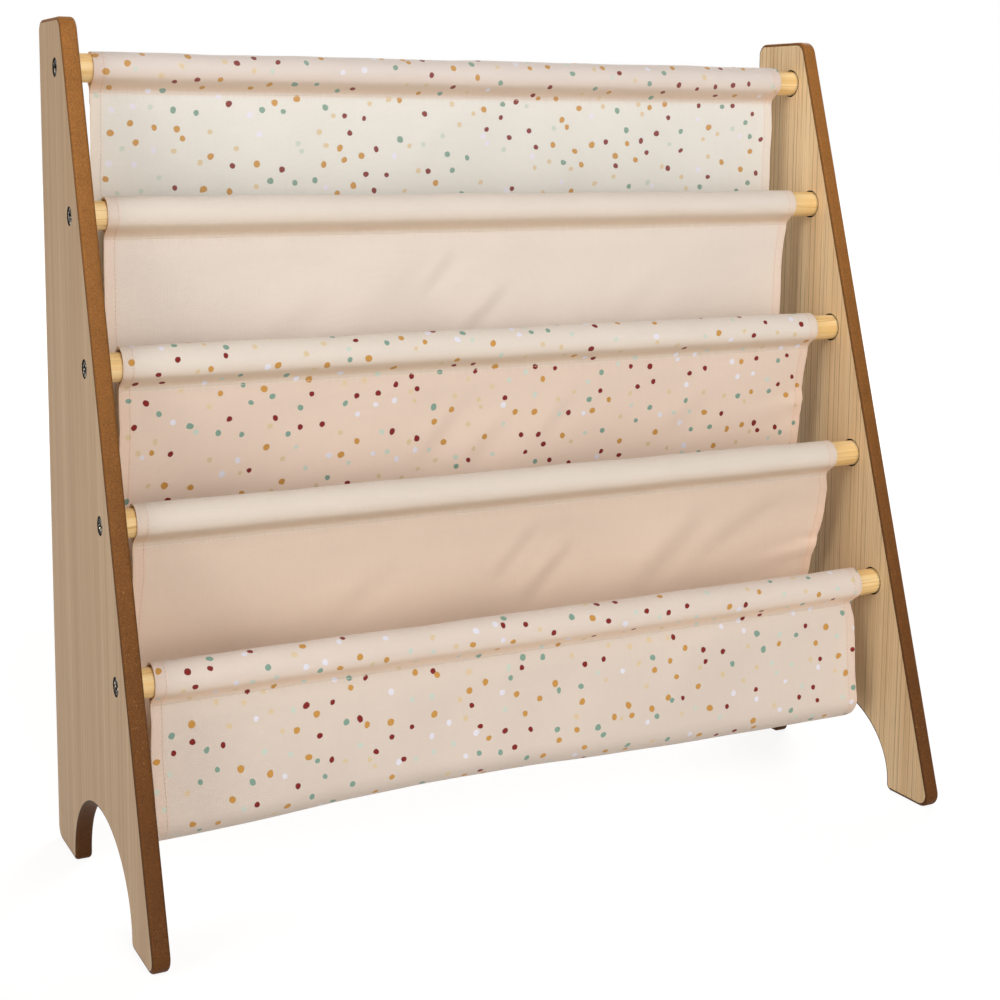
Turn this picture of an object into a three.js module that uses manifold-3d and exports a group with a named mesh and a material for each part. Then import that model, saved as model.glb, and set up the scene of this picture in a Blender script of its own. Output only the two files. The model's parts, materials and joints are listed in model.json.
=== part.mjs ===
// Sling bookshelf for a child's room: two sloping boards, five wooden rods and a cloth sling with
// four pockets. Millimetres, +Z up, +X to the viewer's right, and the open front faces -Y.
// The origin is on the floor, under the middle of the shelf.

import * as THREE from "three";
import { mergeVertices, toCreasedNormals } from "three/addons/utils/BufferGeometryUtils.js";
import Module from "manifold-3d";

const wasm = await Module();
wasm.setup();

// Whole shelf
const shelfWidth = 630;
const boardHeight = 600;
const boardThickness = 12;
const footDepth = 254; // from the back edge to where the sloping front edge would meet the floor
const topDepth = 62.5; // the same, level with the top

// Outline of the boards
const topBackRadius = 9;
const topFrontRadius = 12;
const footRadius = 10;
const toeRadius = 5;
const backFootLength = 54;
const frontFootLength = 53;
const archHeight = 64.5;
const edgeEase = 2.5; // rounding of the board's long edges

// Rods, in a row that runs along the sloping front edge
const rodCount = 5;
const rodDiameter = 20;
const topRodDrop = 34; // from the top of the boards to the middle of the top rod
const lowRodHeight = 166; // from the floor to the middle of the lowest rod
const rodInset = 26.5; // level distance from the front edge to the middle of a rod
const rodSeatDepth = 3.5;
const rodEndEase = 0.8;

// Bolts, and the threaded inserts in the rods' ends
const boltDiameter = 6;
const boltHeadDiameter = 12;
const boltHeadHeight = 3.5;
const boltHeadEase = 0.5;
const boltReach = 18; // how far the shank goes into the rod
const socketWidth = 4; // across the flats of the hexagon
const socketDepth = 2.2;
const counterboreDepth = 4.8;
const headClearance = 0.5;
const insertDiameter = 10;
const insertLength = 14;
const pilotSpare = 4; // how much deeper the pilot hole is than the bolt's tip

// Gap between pieces that touch
const fitGap = 0.3;

// Cloth of the sling
const clothThickness = 1.5;
const sleeveSlack = 0.5; // from a rod to the inside of its sleeve
const clothLeftGap = 9; // from the left board's inner face to the edge of the cloth
const clothRightGap = 18; // the same at the right board
const stitchBelow = 5; // from the underside of the sleeve's ring to its seam
const stitchBack = 2; // how far behind the rod's middle the seam hangs
const seamHeight = 3;
const hemLength = 6; // what is turned in below the seam of a sleeve that carries one layer
const layerGap = 0.8; // between the two layers that hang from one sleeve
const pocketDrop = 117; // from the middle of the front rod to the lowest cloth of a pocket
const pocketRound = 22; // most that a pocket's round bottom rises to its walls
const seamLap = 10; // how far a pocket's bottom is lapped up its rear wall

// How the cloth hangs
const slingLean = 28; // most that a rear wall leans back
const leanReach = 120; // over which drop below the seam a wall takes up its lean
const leanShares = [0.05, 0.14, 0.57, 1, -0.36]; // of each panel, from the top; the last one bulges
const clothRipple = 2.2; // depth of the soft folds across a wall
const rippleCountShares = [1.5, 2.1, 1.7, 2.4, 1.9]; // folds across the width of each panel
const ripplePhaseShares = [0.1, 0.45, 0.8, 0.25, 0.6];
const clothHump = 6; // how far the middle of a pocket's bottom edge is drawn up
const humpPlaceShares = [0.08, -0.12, 0.05, -0.09]; // where across the width, from its middle

// Fineness of the round surfaces
const roundSides = 24;
const smallRoundSides = 12;
const sleeveSteps = 16;
const wallSteps = 5;
const pocketSteps = 8;
const clothStations = 10;
const outlineSteps = 5;
const archSteps = 16;
const creaseAngle = Math.PI / 6;

// Sizes that follow
const rodRadius = rodDiameter / 2;
const innerHalfWidth = shelfWidth / 2 - boardThickness;
const clothHalfWidth = innerHalfWidth - (clothLeftGap + clothRightGap) / 2;
const clothMiddle = (clothLeftGap - clothRightGap) / 2;
const rodPitch = (boardHeight - topRodDrop - lowRodHeight) / (rodCount - 1);
const frontSlope = (footDepth - topDepth) / boardHeight;
const footCentreForward = footDepth - frontSlope * footRadius - footRadius * Math.hypot(1, frontSlope);
const overallDepth = footCentreForward + footRadius;
const sleeveInner = rodRadius + sleeveSlack;
const sleeveOuter = sleeveInner + clothThickness;
const stitchDrop = sleeveOuter + stitchBelow;
const layerPitch = clothThickness + layerGap;

// Level place of what lies a given distance in front of the boards' back edges
function forward(distance) {
  return overallDepth / 2 - distance;
}

// Middle of a rod, counted from the top
function rodPlace(index) {
  const z = boardHeight - topRodDrop - index * rodPitch;
  return { y: forward(topDepth + frontSlope * (boardHeight - z) - rodInset), z };
}

// Materials
function finish(color, roughness, metalness = 0) {
  return new THREE.MeshStandardMaterial({ color, roughness, metalness });
}

const boardFinish = () => finish(0xb9a184, 0.55);
const rodFinish = () => finish(0xe3c78d, 0.6);
const boltFinish = () => finish(0x3d3a36, 0.35, 0.9);
const insertFinish = () => finish(0xb89b5e, 0.4, 0.9);
const dottedClothFinish = () => finish(0xe7d9c9, 0.95);
const plainClothFinish = () => finish(0xe8d1bf, 0.95);

const shelf = new THREE.Group();

function addPiece(name, geometry, material) {
  const mesh = new THREE.Mesh(geometry, material);
  mesh.name = name;
  shelf.add(mesh);
  return mesh;
}

// Solids for cutting
function solidOf(geometry) {
  const bare = geometry.clone();
  bare.deleteAttribute("normal");
  bare.deleteAttribute("uv");
  const merged = mergeVertices(bare);
  return new wasm.Manifold(new wasm.Mesh({
    numProp: 3,
    vertProperties: new Float32Array(merged.attributes.position.array),
    triVerts: new Uint32Array(merged.index.array),
  }));
}

function geometryOf(solid) {
  const mesh = solid.getMesh();
  const geometry = new THREE.BufferGeometry();
  geometry.setAttribute("position", new THREE.BufferAttribute(mesh.vertProperties, mesh.numProp));
  geometry.setIndex(new THREE.BufferAttribute(mesh.triVerts, 1));
  return toCreasedNormals(geometry, creaseAngle);
}

// A profile of [radius, distance along X] pairs, turned about the X axis
function turned(profile, sides) {
  const points = profile.map(([radius, along]) => new THREE.Vector2(radius, along));
  return new THREE.LatheGeometry(points, sides).rotateZ(-Math.PI / 2);
}

// A polygon of [y, z, radius] corners with each corner rounded to its own radius
function roundedCorner(shape, before, corner, after, isFirst) {
  const here = new THREE.Vector2(corner[0], corner[1]);
  const back = new THREE.Vector2(before[0], before[1]).sub(here).normalize();
  const ahead = new THREE.Vector2(after[0], after[1]).sub(here).normalize();
  const halfAngle = Math.acos(back.dot(ahead)) / 2;
  const radius = corner[2];
  const centre = back.clone().add(ahead).normalize().multiplyScalar(radius / Math.sin(halfAngle)).add(here);
  const start = back.multiplyScalar(radius / Math.tan(halfAngle)).add(here);
  const end = ahead.multiplyScalar(radius / Math.tan(halfAngle)).add(here);
  const clockwise = start.clone().sub(centre).cross(end.clone().sub(centre)) < 0;
  if (isFirst) shape.moveTo(start.x, start.y);
  else shape.lineTo(start.x, start.y);
  const from = start.sub(centre).angle();
  const to = end.sub(centre).angle();
  shape.absarc(centre.x, centre.y, radius, from, to, clockwise);
}

// Outline of a board, seen from the side: two feet, the arch between them, and the sloping front
function boardOutline() {
  const archBack = forward(backFootLength);
  const archFront = forward(footDepth - frontFootLength);
  const corners = [
    [forward(topDepth), boardHeight, topFrontRadius],
    [forward(0), boardHeight, topBackRadius],
    [forward(0), 0, footRadius],
    [archBack, 0, toeRadius],
    [archBack, toeRadius + archHeight, 0],
    [archFront, toeRadius + archHeight, 0],
    [archFront, 0, toeRadius],
    [forward(footDepth), 0, footRadius],
  ];
  const shape = new THREE.Shape();
  [0, 1, 2, 3].forEach((index) => {
    roundedCorner(shape, corners.at(index - 1), corners[index], corners[index + 1], index === 0);
  });
  const middle = (archBack + archFront) / 2;
  const reach = (archBack - archFront) / 2;
  const arch = new THREE.EllipseCurve(middle, toeRadius, reach, archHeight - toeRadius, 0, Math.PI, false);
  arch.getPoints(archSteps).slice(1, -1).forEach((point) => shape.lineTo(point.x, point.y));
  [6, 7].forEach((index) => {
    roundedCorner(shape, corners[index - 1], corners[index], corners[(index + 1) % corners.length], false);
  });
  return shape;
}

// One blank for both boards, lying between X = 0, its outer face, and X = the thickness
function boardBlank() {
  const blank = new THREE.ExtrudeGeometry(boardOutline(), {
    depth: boardThickness - 2 * edgeEase,
    curveSegments: outlineSteps,
    bevelThickness: edgeEase,
    bevelSize: edgeEase,
    bevelOffset: -edgeEase,
    bevelSegments: 2,
  });
  const sideways = new THREE.Matrix4().makeBasis(
    new THREE.Vector3(0, 1, 0),
    new THREE.Vector3(0, 0, 1),
    new THREE.Vector3(1, 0, 0),
  );
  return blank.translate(0, 0, edgeEase).applyMatrix4(sideways);
}

// What is drilled out for a rod: the bolt's counterbore, its hole and the seat of the rod's end
function drillCutter() {
  const overrun = boardThickness;
  const headRadius = boltHeadDiameter / 2 + headClearance;
  const holeRadius = boltDiameter / 2 + fitGap;
  const seatRadius = rodRadius + fitGap;
  const seatFloor = boardThickness - rodSeatDepth;
  return turned([
    [0, -overrun],
    [headRadius, -overrun],
    [headRadius, counterboreDepth],
    [holeRadius, counterboreDepth],
    [holeRadius, seatFloor],
    [seatRadius, seatFloor],
    [seatRadius, boardThickness + overrun],
    [0, boardThickness + overrun],
  ], roundSides);
}

function board(isRight) {
  let solid = solidOf(boardBlank());
  for (let index = 0; index < rodCount; index += 1) {
    const rod = rodPlace(index);
    solid = solid.subtract(solidOf(drillCutter().translate(0, rod.y, rod.z)));
  }
  const geometry = geometryOf(solid);
  if (!isRight) return geometry.translate(-shelfWidth / 2, 0, 0);
  const mirror = new THREE.Matrix4().makeScale(-1, 1, 1);
  const flipped = mergeVertices(new THREE.BufferGeometry().setAttribute("position", geometry.attributes.position));
  flipped.setIndex(Array.from(flipped.index.array).reverse());
  return toCreasedNormals(flipped.applyMatrix4(mirror), creaseAngle).translate(shelfWidth / 2, 0, 0);
}

// A rod with its end bores: the wide part holds the insert, and the pilot hole takes the bolt's tip
function rodGeometry() {
  const halfLength = innerHalfWidth + rodSeatDepth - fitGap;
  const insertBore = insertDiameter / 2 + fitGap;
  const pilot = boltDiameter / 2 + fitGap;
  const insertFloor = halfLength - insertLength - 2 * fitGap;
  const pilotFloor = halfLength - boltReach - pilotSpare;
  const half = [
    [0, pilotFloor],
    [pilot, pilotFloor],
    [pilot, insertFloor],
    [insertBore, insertFloor],
    [insertBore, halfLength],
    [rodRadius - rodEndEase, halfLength],
    [rodRadius, halfLength - rodEndEase],
  ];
  const mirrored = half.map(([radius, along]) => [radius, -along]);
  return turned([...mirrored, ...half.reverse()], roundSides);
}

// A bolt, from its head near X = 0, the board's outer face, towards the rod
function boltGeometry() {
  const headUnder = counterboreDepth - fitGap;
  const headTop = headUnder - boltHeadHeight;
  const headRadius = boltHeadDiameter / 2;
  const shank = boltDiameter / 2;
  const tip = boardThickness + boltReach;
  const body = turned([
    [0, headTop],
    [headRadius - boltHeadEase, headTop],
    [headRadius, headTop + boltHeadEase],
    [headRadius, headUnder],
    [shank, headUnder],
    [shank, tip - boltHeadEase],
    [shank - boltHeadEase, tip],
    [0, tip],
  ], smallRoundSides);
  const cornerRadius = socketWidth / 2 / Math.cos(Math.PI / 6);
  const overrun = boltHeadHeight;
  const socket = new THREE.CylinderGeometry(cornerRadius, cornerRadius, overrun + socketDepth, 6)
    .rotateZ(-Math.PI / 2)
    .translate(headTop + (socketDepth - overrun) / 2, 0, 0);
  return geometryOf(solidOf(body).subtract(solidOf(socket)));
}

// A threaded insert, which starts just inside the rod's end
function insertGeometry() {
  const bore = boltDiameter / 2 + fitGap;
  const outer = insertDiameter / 2;
  const start = boardThickness - rodSeatDepth + 2 * fitGap;
  return turned([
    [bore, start],
    [outer, start],
    [outer, start + insertLength],
    [bore, start + insertLength],
    [bore, start],
  ], smallRoundSides);
}

// Soft folds across a wall, and the drawn-up bottom edge of a pocket
function ripple(panel, x) {
  const turns = (x / (2 * clothHalfWidth)) * rippleCountShares[panel] + ripplePhaseShares[panel];
  return clothRipple * Math.sin(2 * Math.PI * turns);
}

function hump(pocket, x) {
  const away = x / (2 * clothHalfWidth) - humpPlaceShares[pocket];
  return (clothHump * (1 + Math.cos(2 * Math.PI * away))) / 2;
}

// Level place of the cloth that hangs from a panel's own rod, halfway between its two layers
function wallY(panel, z, x) {
  const rod = rodPlace(panel);
  const run = THREE.MathUtils.smoothstep(rod.z - stitchDrop - z, 0, leanReach);
  return rod.y + stitchBack + run * (slingLean * leanShares[panel] + ripple(panel, x));
}

const frontLayerY = (panel, z, x) => wallY(panel, z, x) - layerPitch / 2;
const rearLayerY = (panel, z, x) => wallY(panel, z, x) + layerPitch / 2;
const lapY = (pocket, z, x) => frontLayerY(pocket, z, x) - clothThickness - fitGap;

// The front wall of a pocket is the rear layer of the next panel, or the only layer of the last one
function pocketFrontY(pocket, z, x) {
  const layer = pocket + 1 === rodCount - 1 ? frontLayerY : rearLayerY;
  return layer(pocket + 1, z, x);
}

// Round bottom of a pocket at one place across the width
function pocketBottom(pocket, x) {
  const lowest = rodPlace(pocket + 1).z - pocketDrop + clothThickness / 2 + hump(pocket, x);
  const front = pocketFrontY(pocket, lowest + pocketRound, x);
  const rear = lapY(pocket, lowest + pocketRound, x);
  const reach = (rear - front) / 2;
  const rise = Math.min(reach, pocketRound);
  return { middle: (front + rear) / 2, reach, rise, level: lowest + rise };
}

const seamBottom = (panel) => rodPlace(panel).z - stitchDrop - seamHeight / 2;

// Points down the middle of a layer, between two levels
function wallPath(layerY, from, to, steps) {
  return Array.from({ length: steps + 1 }, (_, step) => {
    const z = THREE.MathUtils.lerp(from, to, step / steps);
    return new THREE.Vector2(layerY(z), z);
  });
}

// A layer that ends where the pocket behind it is lapped on to it
function rearWallPath(panel, x) {
  const bottom = pocketBottom(panel, x);
  return wallPath((z) => frontLayerY(panel, z, x), seamBottom(panel), bottom.level, wallSteps);
}

// A layer that goes down the pocket's front, round its bottom and up its rear wall's inside
function pocketPath(pocket, x) {
  const { middle, reach, rise, level } = pocketBottom(pocket, x);
  const front = wallPath((z) => pocketFrontY(pocket, z, x), seamBottom(pocket + 1), level, wallSteps);
  front.at(-1).x = middle - reach;
  const bottom = new THREE.EllipseCurve(middle, level, reach, rise, Math.PI, 2 * Math.PI, false);
  const lap = wallPath((z) => lapY(pocket, z, x), level, level + seamLap, 1);
  lap[0].x = middle + reach;
  return [...front, ...bottom.getPoints(pocketSteps).slice(1, -1), ...lap];
}

// The turned-in end of a sleeve that carries one layer
function hemPath(panel, x) {
  const top = seamBottom(panel);
  return wallPath((z) => rearLayerY(panel, z, x), top, top - hemLength, 1);
}

// Both sides of a layer, half the cloth's thickness from its middle
function layerSides(path) {
  const sides = { left: [], right: [] };
  path.forEach((point, index) => {
    const ahead = path[Math.min(index + 1, path.length - 1)].clone();
    const direction = ahead.sub(path[Math.max(index - 1, 0)]).normalize();
    const across = new THREE.Vector2(-direction.y, direction.x).multiplyScalar(clothThickness / 2);
    sides.left.push(point.clone().add(across));
    sides.right.push(point.clone().sub(across));
  });
  return sides;
}

// The part of a ring round the rod that lies over two lines which meet the ring below it
function sleeveArc(panel, radius, frontFoot, rearFoot) {
  const rod = rodPlace(panel);
  const touch = (foot, side) => {
    const away = new THREE.Vector2(foot.x - rod.y, foot.y - rod.z);
    return Math.atan2(away.y, away.x) + side * Math.acos(radius / away.length());
  };
  const from = touch(frontFoot, -1);
  const to = touch(rearFoot, 1);
  const arc = new THREE.EllipseCurve(rod.y, rod.z, radius, radius, from, to, true);
  return arc.getPoints(sleeveSteps);
}

// Cut through a panel at one place across the width: its outline and the tunnel for the rod
function panelSection(panel, x) {
  const isFirst = panel === 0;
  const isLast = panel === rodCount - 1;
  const front = layerSides(isLast ? pocketPath(panel - 1, x) : rearWallPath(panel, x));
  const rear = layerSides(isFirst || isLast ? hemPath(panel, x) : pocketPath(panel - 1, x));
  const seamY = rodPlace(panel).y + stitchBack;
  const seamZ = rodPlace(panel).z - stitchDrop;
  const halfSeam = layerGap / 2 + clothThickness;
  const frontFoot = new THREE.Vector2(seamY - halfSeam, seamZ);
  const rearFoot = new THREE.Vector2(seamY + halfSeam, seamZ);
  const outline = [
    ...front.right.toReversed(),
    ...sleeveArc(panel, sleeveOuter, frontFoot, rearFoot),
    ...rear.left,
    ...rear.right.toReversed(),
    ...front.left,
  ];
  const tunnelFoot = new THREE.Vector2(seamY, seamZ + seamHeight / 2);
  const tunnel = [tunnelFoot, ...sleeveArc(panel, sleeveInner, tunnelFoot, tunnelFoot)];
  return { x, outline, tunnel };
}

// A closed solid through sections that all have the same number of points
function loft(sections) {
  const turnsLeft = (points) => !THREE.ShapeUtils.isClockWise(points);
  const loops = sections.map(({ x, outline, tunnel }) => ({
    x,
    outline: turnsLeft(outline) ? outline : outline.toReversed(),
    tunnel: turnsLeft(tunnel) ? tunnel.toReversed() : tunnel,
  }));
  const rim = loops[0].outline.length;
  const count = rim + loops[0].tunnel.length;
  const positions = loops.flatMap(({ x, outline, tunnel }) => (
    [...outline, ...tunnel].flatMap((point) => [x, point.x, point.y])
  ));
  const faces = [];
  const nextInLoop = (index) => {
    if (index === rim - 1) return 0;
    return index === count - 1 ? rim : index + 1;
  };
  for (let station = 0; station < loops.length - 1; station += 1) {
    for (let index = 0; index < count; index += 1) {
      const here = station * count + index;
      const beside = station * count + nextInLoop(index);
      faces.push(here, beside, beside + count, here, beside + count, here + count);
    }
  }
  const last = (loops.length - 1) * count;
  const cap = (loop, offset, isStart) => {
    THREE.ShapeUtils.triangulateShape(loop.outline, [loop.tunnel]).forEach(([a, b, c]) => {
      faces.push(...(isStart ? [a, c, b] : [offset + a, offset + b, offset + c]));
    });
  };
  cap(loops[0], 0, true);
  cap(loops.at(-1), last, false);
  const geometry = new THREE.BufferGeometry();
  geometry.setAttribute("position", new THREE.Float32BufferAttribute(positions, 3));
  geometry.setIndex(faces);
  return toCreasedNormals(geometry, creaseAngle);
}

// The sections stand closer together towards the sides of the cloth
function panelGeometry(panel) {
  const sections = Array.from({ length: clothStations }, (_, station) => {
    const turn = THREE.MathUtils.lerp(-Math.PI / 2, Math.PI / 2, station / (clothStations - 1));
    return panelSection(panel, clothHalfWidth * Math.sin(turn));
  });
  return loft(sections).translate(clothMiddle, 0, 0);
}

// The shelf, piece by piece
addPiece("side_board_left", board(false), boardFinish());
addPiece("side_board_right", board(true), boardFinish());

for (let index = 0; index < rodCount; index += 1) {
  const { y, z } = rodPlace(index);
  const number = index + 1;
  addPiece(`rod_${number}`, rodGeometry(), rodFinish()).position.set(0, y, z);
  addPiece(`bolt_left_${number}`, boltGeometry(), boltFinish()).position.set(-shelfWidth / 2, y, z);
  addPiece(`insert_left_${number}`, insertGeometry(), insertFinish()).position.set(-shelfWidth / 2, y, z);
  const rightBolt = addPiece(`bolt_right_${number}`, boltGeometry(), boltFinish());
  rightBolt.position.set(shelfWidth / 2, y, z);
  rightBolt.rotation.z = Math.PI;
  const rightInsert = addPiece(`insert_right_${number}`, insertGeometry(), insertFinish());
  rightInsert.position.set(shelfWidth / 2, y, z);
  rightInsert.rotation.z = Math.PI;
  const clothFinish = index % 2 === 0 ? dottedClothFinish : plainClothFinish;
  addPiece(`sling_panel_${number}`, panelGeometry(index), clothFinish());
}

export default shelf;
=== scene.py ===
# %% [markdown]
# # A child's sling bookshelf
# Two sloping boards stand on four feet, five wooden rods join them, and a cloth sling hangs from
# the rods in four pockets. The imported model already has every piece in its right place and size,
# so this lesson only dresses it: it loads that model as a fixed frame, builds a finer board,
# bolt or cloth where the plain solid is too coarse, and gives everything a finish. All sizes are
# in metres, +X is the viewer's right, the open front faces -Y and the floor is z = 0.

# %% Load the frame
import json
import math

import bmesh
import bpy
import numpy as np
from mathutils import Matrix, Vector

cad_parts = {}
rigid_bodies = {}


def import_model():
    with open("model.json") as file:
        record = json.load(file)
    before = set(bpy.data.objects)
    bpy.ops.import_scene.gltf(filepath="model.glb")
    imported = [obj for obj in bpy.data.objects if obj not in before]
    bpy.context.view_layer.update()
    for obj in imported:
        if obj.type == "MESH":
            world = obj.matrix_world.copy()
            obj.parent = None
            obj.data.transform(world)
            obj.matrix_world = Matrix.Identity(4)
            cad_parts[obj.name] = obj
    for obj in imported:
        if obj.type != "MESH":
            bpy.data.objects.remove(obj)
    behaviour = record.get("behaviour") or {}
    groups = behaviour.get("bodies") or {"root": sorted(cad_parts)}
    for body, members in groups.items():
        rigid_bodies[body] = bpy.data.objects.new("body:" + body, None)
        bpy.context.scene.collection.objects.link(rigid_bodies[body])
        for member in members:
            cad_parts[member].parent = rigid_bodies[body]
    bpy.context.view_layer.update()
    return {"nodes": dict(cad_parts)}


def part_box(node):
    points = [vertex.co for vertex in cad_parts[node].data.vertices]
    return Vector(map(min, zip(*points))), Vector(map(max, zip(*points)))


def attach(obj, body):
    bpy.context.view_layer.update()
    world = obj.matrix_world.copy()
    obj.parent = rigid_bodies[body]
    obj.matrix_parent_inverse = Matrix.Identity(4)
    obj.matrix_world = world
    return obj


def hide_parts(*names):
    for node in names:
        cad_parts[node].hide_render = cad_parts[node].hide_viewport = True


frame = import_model()

# %% [markdown]
# ## The camera
# The object was seen from its left front, from a little below the top of the boards. A camera
# could be aimed by hand until the view looks right. Here its place and turn are given as numbers
# instead, because they were worked out from the lines of the boards and the ends of the rods.
# The vertical shift keeps the upright boards as nearly parallel as they are seen.

# %% Camera
CAMERA_PLACE = Vector((-0.5949, -1.13236, 0.528))
CAMERA_TURN_RIGHT, CAMERA_TILT_UP, CAMERA_ROLL = (math.radians(a) for a in (27.265, -7.305, 0.439))
SENSOR_WIDTH = 36.0
LENS_LENGTH = 62.694
CAMERA_SHIFT_UP = -0.15


def camera_axes(turn_right, tilt_up, roll):
    """Right, up and backward directions of a camera, as the columns of a matrix."""
    ahead = Vector((math.sin(turn_right) * math.cos(tilt_up),
                    math.cos(turn_right) * math.cos(tilt_up), math.sin(tilt_up)))
    level_right = Vector((math.cos(turn_right), -math.sin(turn_right), 0))
    level_up = level_right.cross(ahead)
    right = math.cos(roll) * level_right + math.sin(roll) * level_up
    up = math.cos(roll) * level_up - math.sin(roll) * level_right
    return Matrix((right, up, -ahead)).transposed()


lens = bpy.data.cameras.new("camera")
lens.sensor_width, lens.lens, lens.shift_y = SENSOR_WIDTH, LENS_LENGTH, CAMERA_SHIFT_UP
camera = bpy.data.objects.new("camera", lens)
turn = camera_axes(CAMERA_TURN_RIGHT, CAMERA_TILT_UP, CAMERA_ROLL).to_4x4()
camera.matrix_world = Matrix.Translation(CAMERA_PLACE) @ turn
bpy.context.scene.collection.objects.link(camera)
bpy.context.scene.camera = camera
print("camera at", tuple(CAMERA_PLACE))

# %% [markdown]
# ## Sizes that the pieces share
# The rods' places are read from the frame. The rest repeats the sizes that the solids were built
# from, so that every finer piece lies where its solid is.

# %% Shared sizes
MM = 0.001
ROD_COUNT = 5
ROD_NUMBERS = range(1, ROD_COUNT + 1)


def middle_of(node):
    low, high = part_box(node)
    return (low + high) / 2


rod_places = [middle_of(f"rod_{number}") for number in ROD_NUMBERS]
board_low, board_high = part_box("side_board_left")
SHELF_HALF_WIDTH = -board_low.x
BOARD_THICKNESS = board_high.x - board_low.x
BOARD_HEIGHT = board_high.z
BACK_Y = board_high.y
INNER_HALF_WIDTH = SHELF_HALF_WIDTH - BOARD_THICKNESS
print("rods at", [tuple(round(c, 4) for c in place) for place in rod_places])
print("board", round(BOARD_THICKNESS, 4), "thick,", round(BOARD_HEIGHT, 4), "high")

# %% [markdown]
# ## A box for points and faces
# Every piece below is made in mesh code: rows of points are computed, and neighbouring rows are
# joined by strips of faces. One small class collects the points, the faces and the number of
# each face's finish, and turns them into a mesh object at the end. Corners sharper than a chosen
# angle stay crisp and the rest are shaded smooth.

# %% Mesh builder
CRISP_ANGLE = math.radians(40)


class Shape:
    """Points, faces and finish numbers of one piece."""

    def __init__(self):
        self.points, self.faces, self.finishes = [], [], []

    def row(self, points):
        start = len(self.points)
        self.points.extend(tuple(point) for point in points)
        return list(range(start, len(self.points)))

    def strip(self, row, next_row, finish=0, is_loop=True):
        count = len(row)
        for here in range(count if is_loop else count - 1):
            beside = (here + 1) % count
            self.face((row[here], row[beside], next_row[beside], next_row[here]), finish)

    def skin(self, rows, finish=0, is_loop=True):
        """Strips between each row and the next one."""
        for row, next_row in zip(rows, rows[1:]):
            self.strip(row, next_row, finish, is_loop)

    def face(self, corners, finish=0):
        self.faces.append(tuple(corners))
        self.finishes.append(finish)

    def closed_skin(self, rows):
        """A skin of rings with a flat face at each end."""
        self.skin(rows)
        self.face(rows[0])
        self.face(rows[-1])

    def mirrored(self):
        """The same piece seen in a mirror that stands on X = 0."""
        other = Shape()
        other.points = [(-x, y, z) for x, y, z in self.points]
        other.faces = [tuple(reversed(face)) for face in self.faces]
        other.finishes = list(self.finishes)
        return other

    def make(self, name):
        mesh = bpy.data.meshes.new(name)
        mesh.from_pydata(self.points, [], self.faces)
        mesh.polygons.foreach_set("material_index", self.finishes)
        mesh.polygons.foreach_set("use_smooth", [True] * len(self.faces))
        mesh.set_sharp_from_angle(angle=CRISP_ANGLE)
        mesh.validate()
        piece = bpy.data.objects.new(name, mesh)
        bpy.context.scene.collection.objects.link(piece)
        return piece


print("mesh builder ready")

# %% [markdown]
# ## The side boards
# Each board is a fibreboard panel with a wood-grain face on both sides. It is sawn to its
# outline, its long edges are rounded over with a router, and it is drilled for the rods. The
# rounding cuts through the thin face, so the brown fibreboard shows there. It could be an
# extruded outline with a bevel modifier, but a bevel stumbles over the drilled holes. So the
# outline is computed point by point, and rows of it are stepped in round a quarter circle on
# each side. A last row just inside each flat face keeps the rounding's shading from bleeding on
# to the flat.

# %% Outline of a board
FOOT_DEPTH, TOP_DEPTH = 254 * MM, 62.5 * MM
TOP_BACK_RADIUS, TOP_FRONT_RADIUS, FOOT_RADIUS, TOE_RADIUS = 9 * MM, 12 * MM, 10 * MM, 5 * MM
BACK_FOOT_LENGTH, FRONT_FOOT_LENGTH, ARCH_HEIGHT = 54 * MM, 53 * MM, 64.5 * MM
EDGE_ROUNDING = 2.5 * MM
CORNER_STEPS, ARCH_STEPS, ROUNDING_STEPS = 14, 56, 6


def forward(distance):
    return BACK_Y - distance


def rounded_corner(before, corner, after, radius):
    """Points of an arc that rounds one corner of a polygon in the YZ plane."""
    here, back, ahead = (np.array(point, float) for point in (corner, before, after))
    back = (back - here) / np.linalg.norm(back - here)
    ahead = (ahead - here) / np.linalg.norm(ahead - here)
    half = math.acos(float(back @ ahead)) / 2
    middle = here + (back + ahead) / np.linalg.norm(back + ahead) * radius / math.sin(half)
    start = here + back * radius / math.tan(half) - middle
    swing = math.pi - 2 * half
    if start[1] * back[0] - start[0] * back[1] < 0:
        swing = -swing
    angles = math.atan2(start[1], start[0]) + np.linspace(0, swing, CORNER_STEPS + 1)
    return [tuple(middle + radius * np.array((math.cos(a), math.sin(a)))) for a in angles]


def board_outline():
    """Two feet, the arch between them and the sloping front, as a loop of (y, z) points."""
    arch_back, arch_front = forward(BACK_FOOT_LENGTH), forward(FOOT_DEPTH - FRONT_FOOT_LENGTH)
    top_front, top_back = (forward(TOP_DEPTH), BOARD_HEIGHT), (forward(0), BOARD_HEIGHT)
    heel, front_toe = (forward(0), 0), (forward(FOOT_DEPTH), 0)
    back_toe, back_rise = (arch_back, 0), (arch_back, TOE_RADIUS + ARCH_HEIGHT)
    inner_toe, front_rise = (arch_front, 0), (arch_front, TOE_RADIUS + ARCH_HEIGHT)
    middle, reach = (arch_back + arch_front) / 2, (arch_back - arch_front) / 2
    sweep = np.linspace(0, math.pi, ARCH_STEPS + 1)[1:-1]
    arch = [(middle + reach * math.cos(a), TOE_RADIUS + (ARCH_HEIGHT - TOE_RADIUS) * math.sin(a))
            for a in sweep]
    return (rounded_corner(front_toe, top_front, top_back, TOP_FRONT_RADIUS)
            + rounded_corner(top_front, top_back, heel, TOP_BACK_RADIUS)
            + rounded_corner(top_back, heel, back_toe, FOOT_RADIUS)
            + rounded_corner(heel, back_toe, back_rise, TOE_RADIUS) + arch
            + rounded_corner(front_rise, inner_toe, front_toe, TOE_RADIUS)
            + rounded_corner(inner_toe, front_toe, top_front, FOOT_RADIUS))


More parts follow.
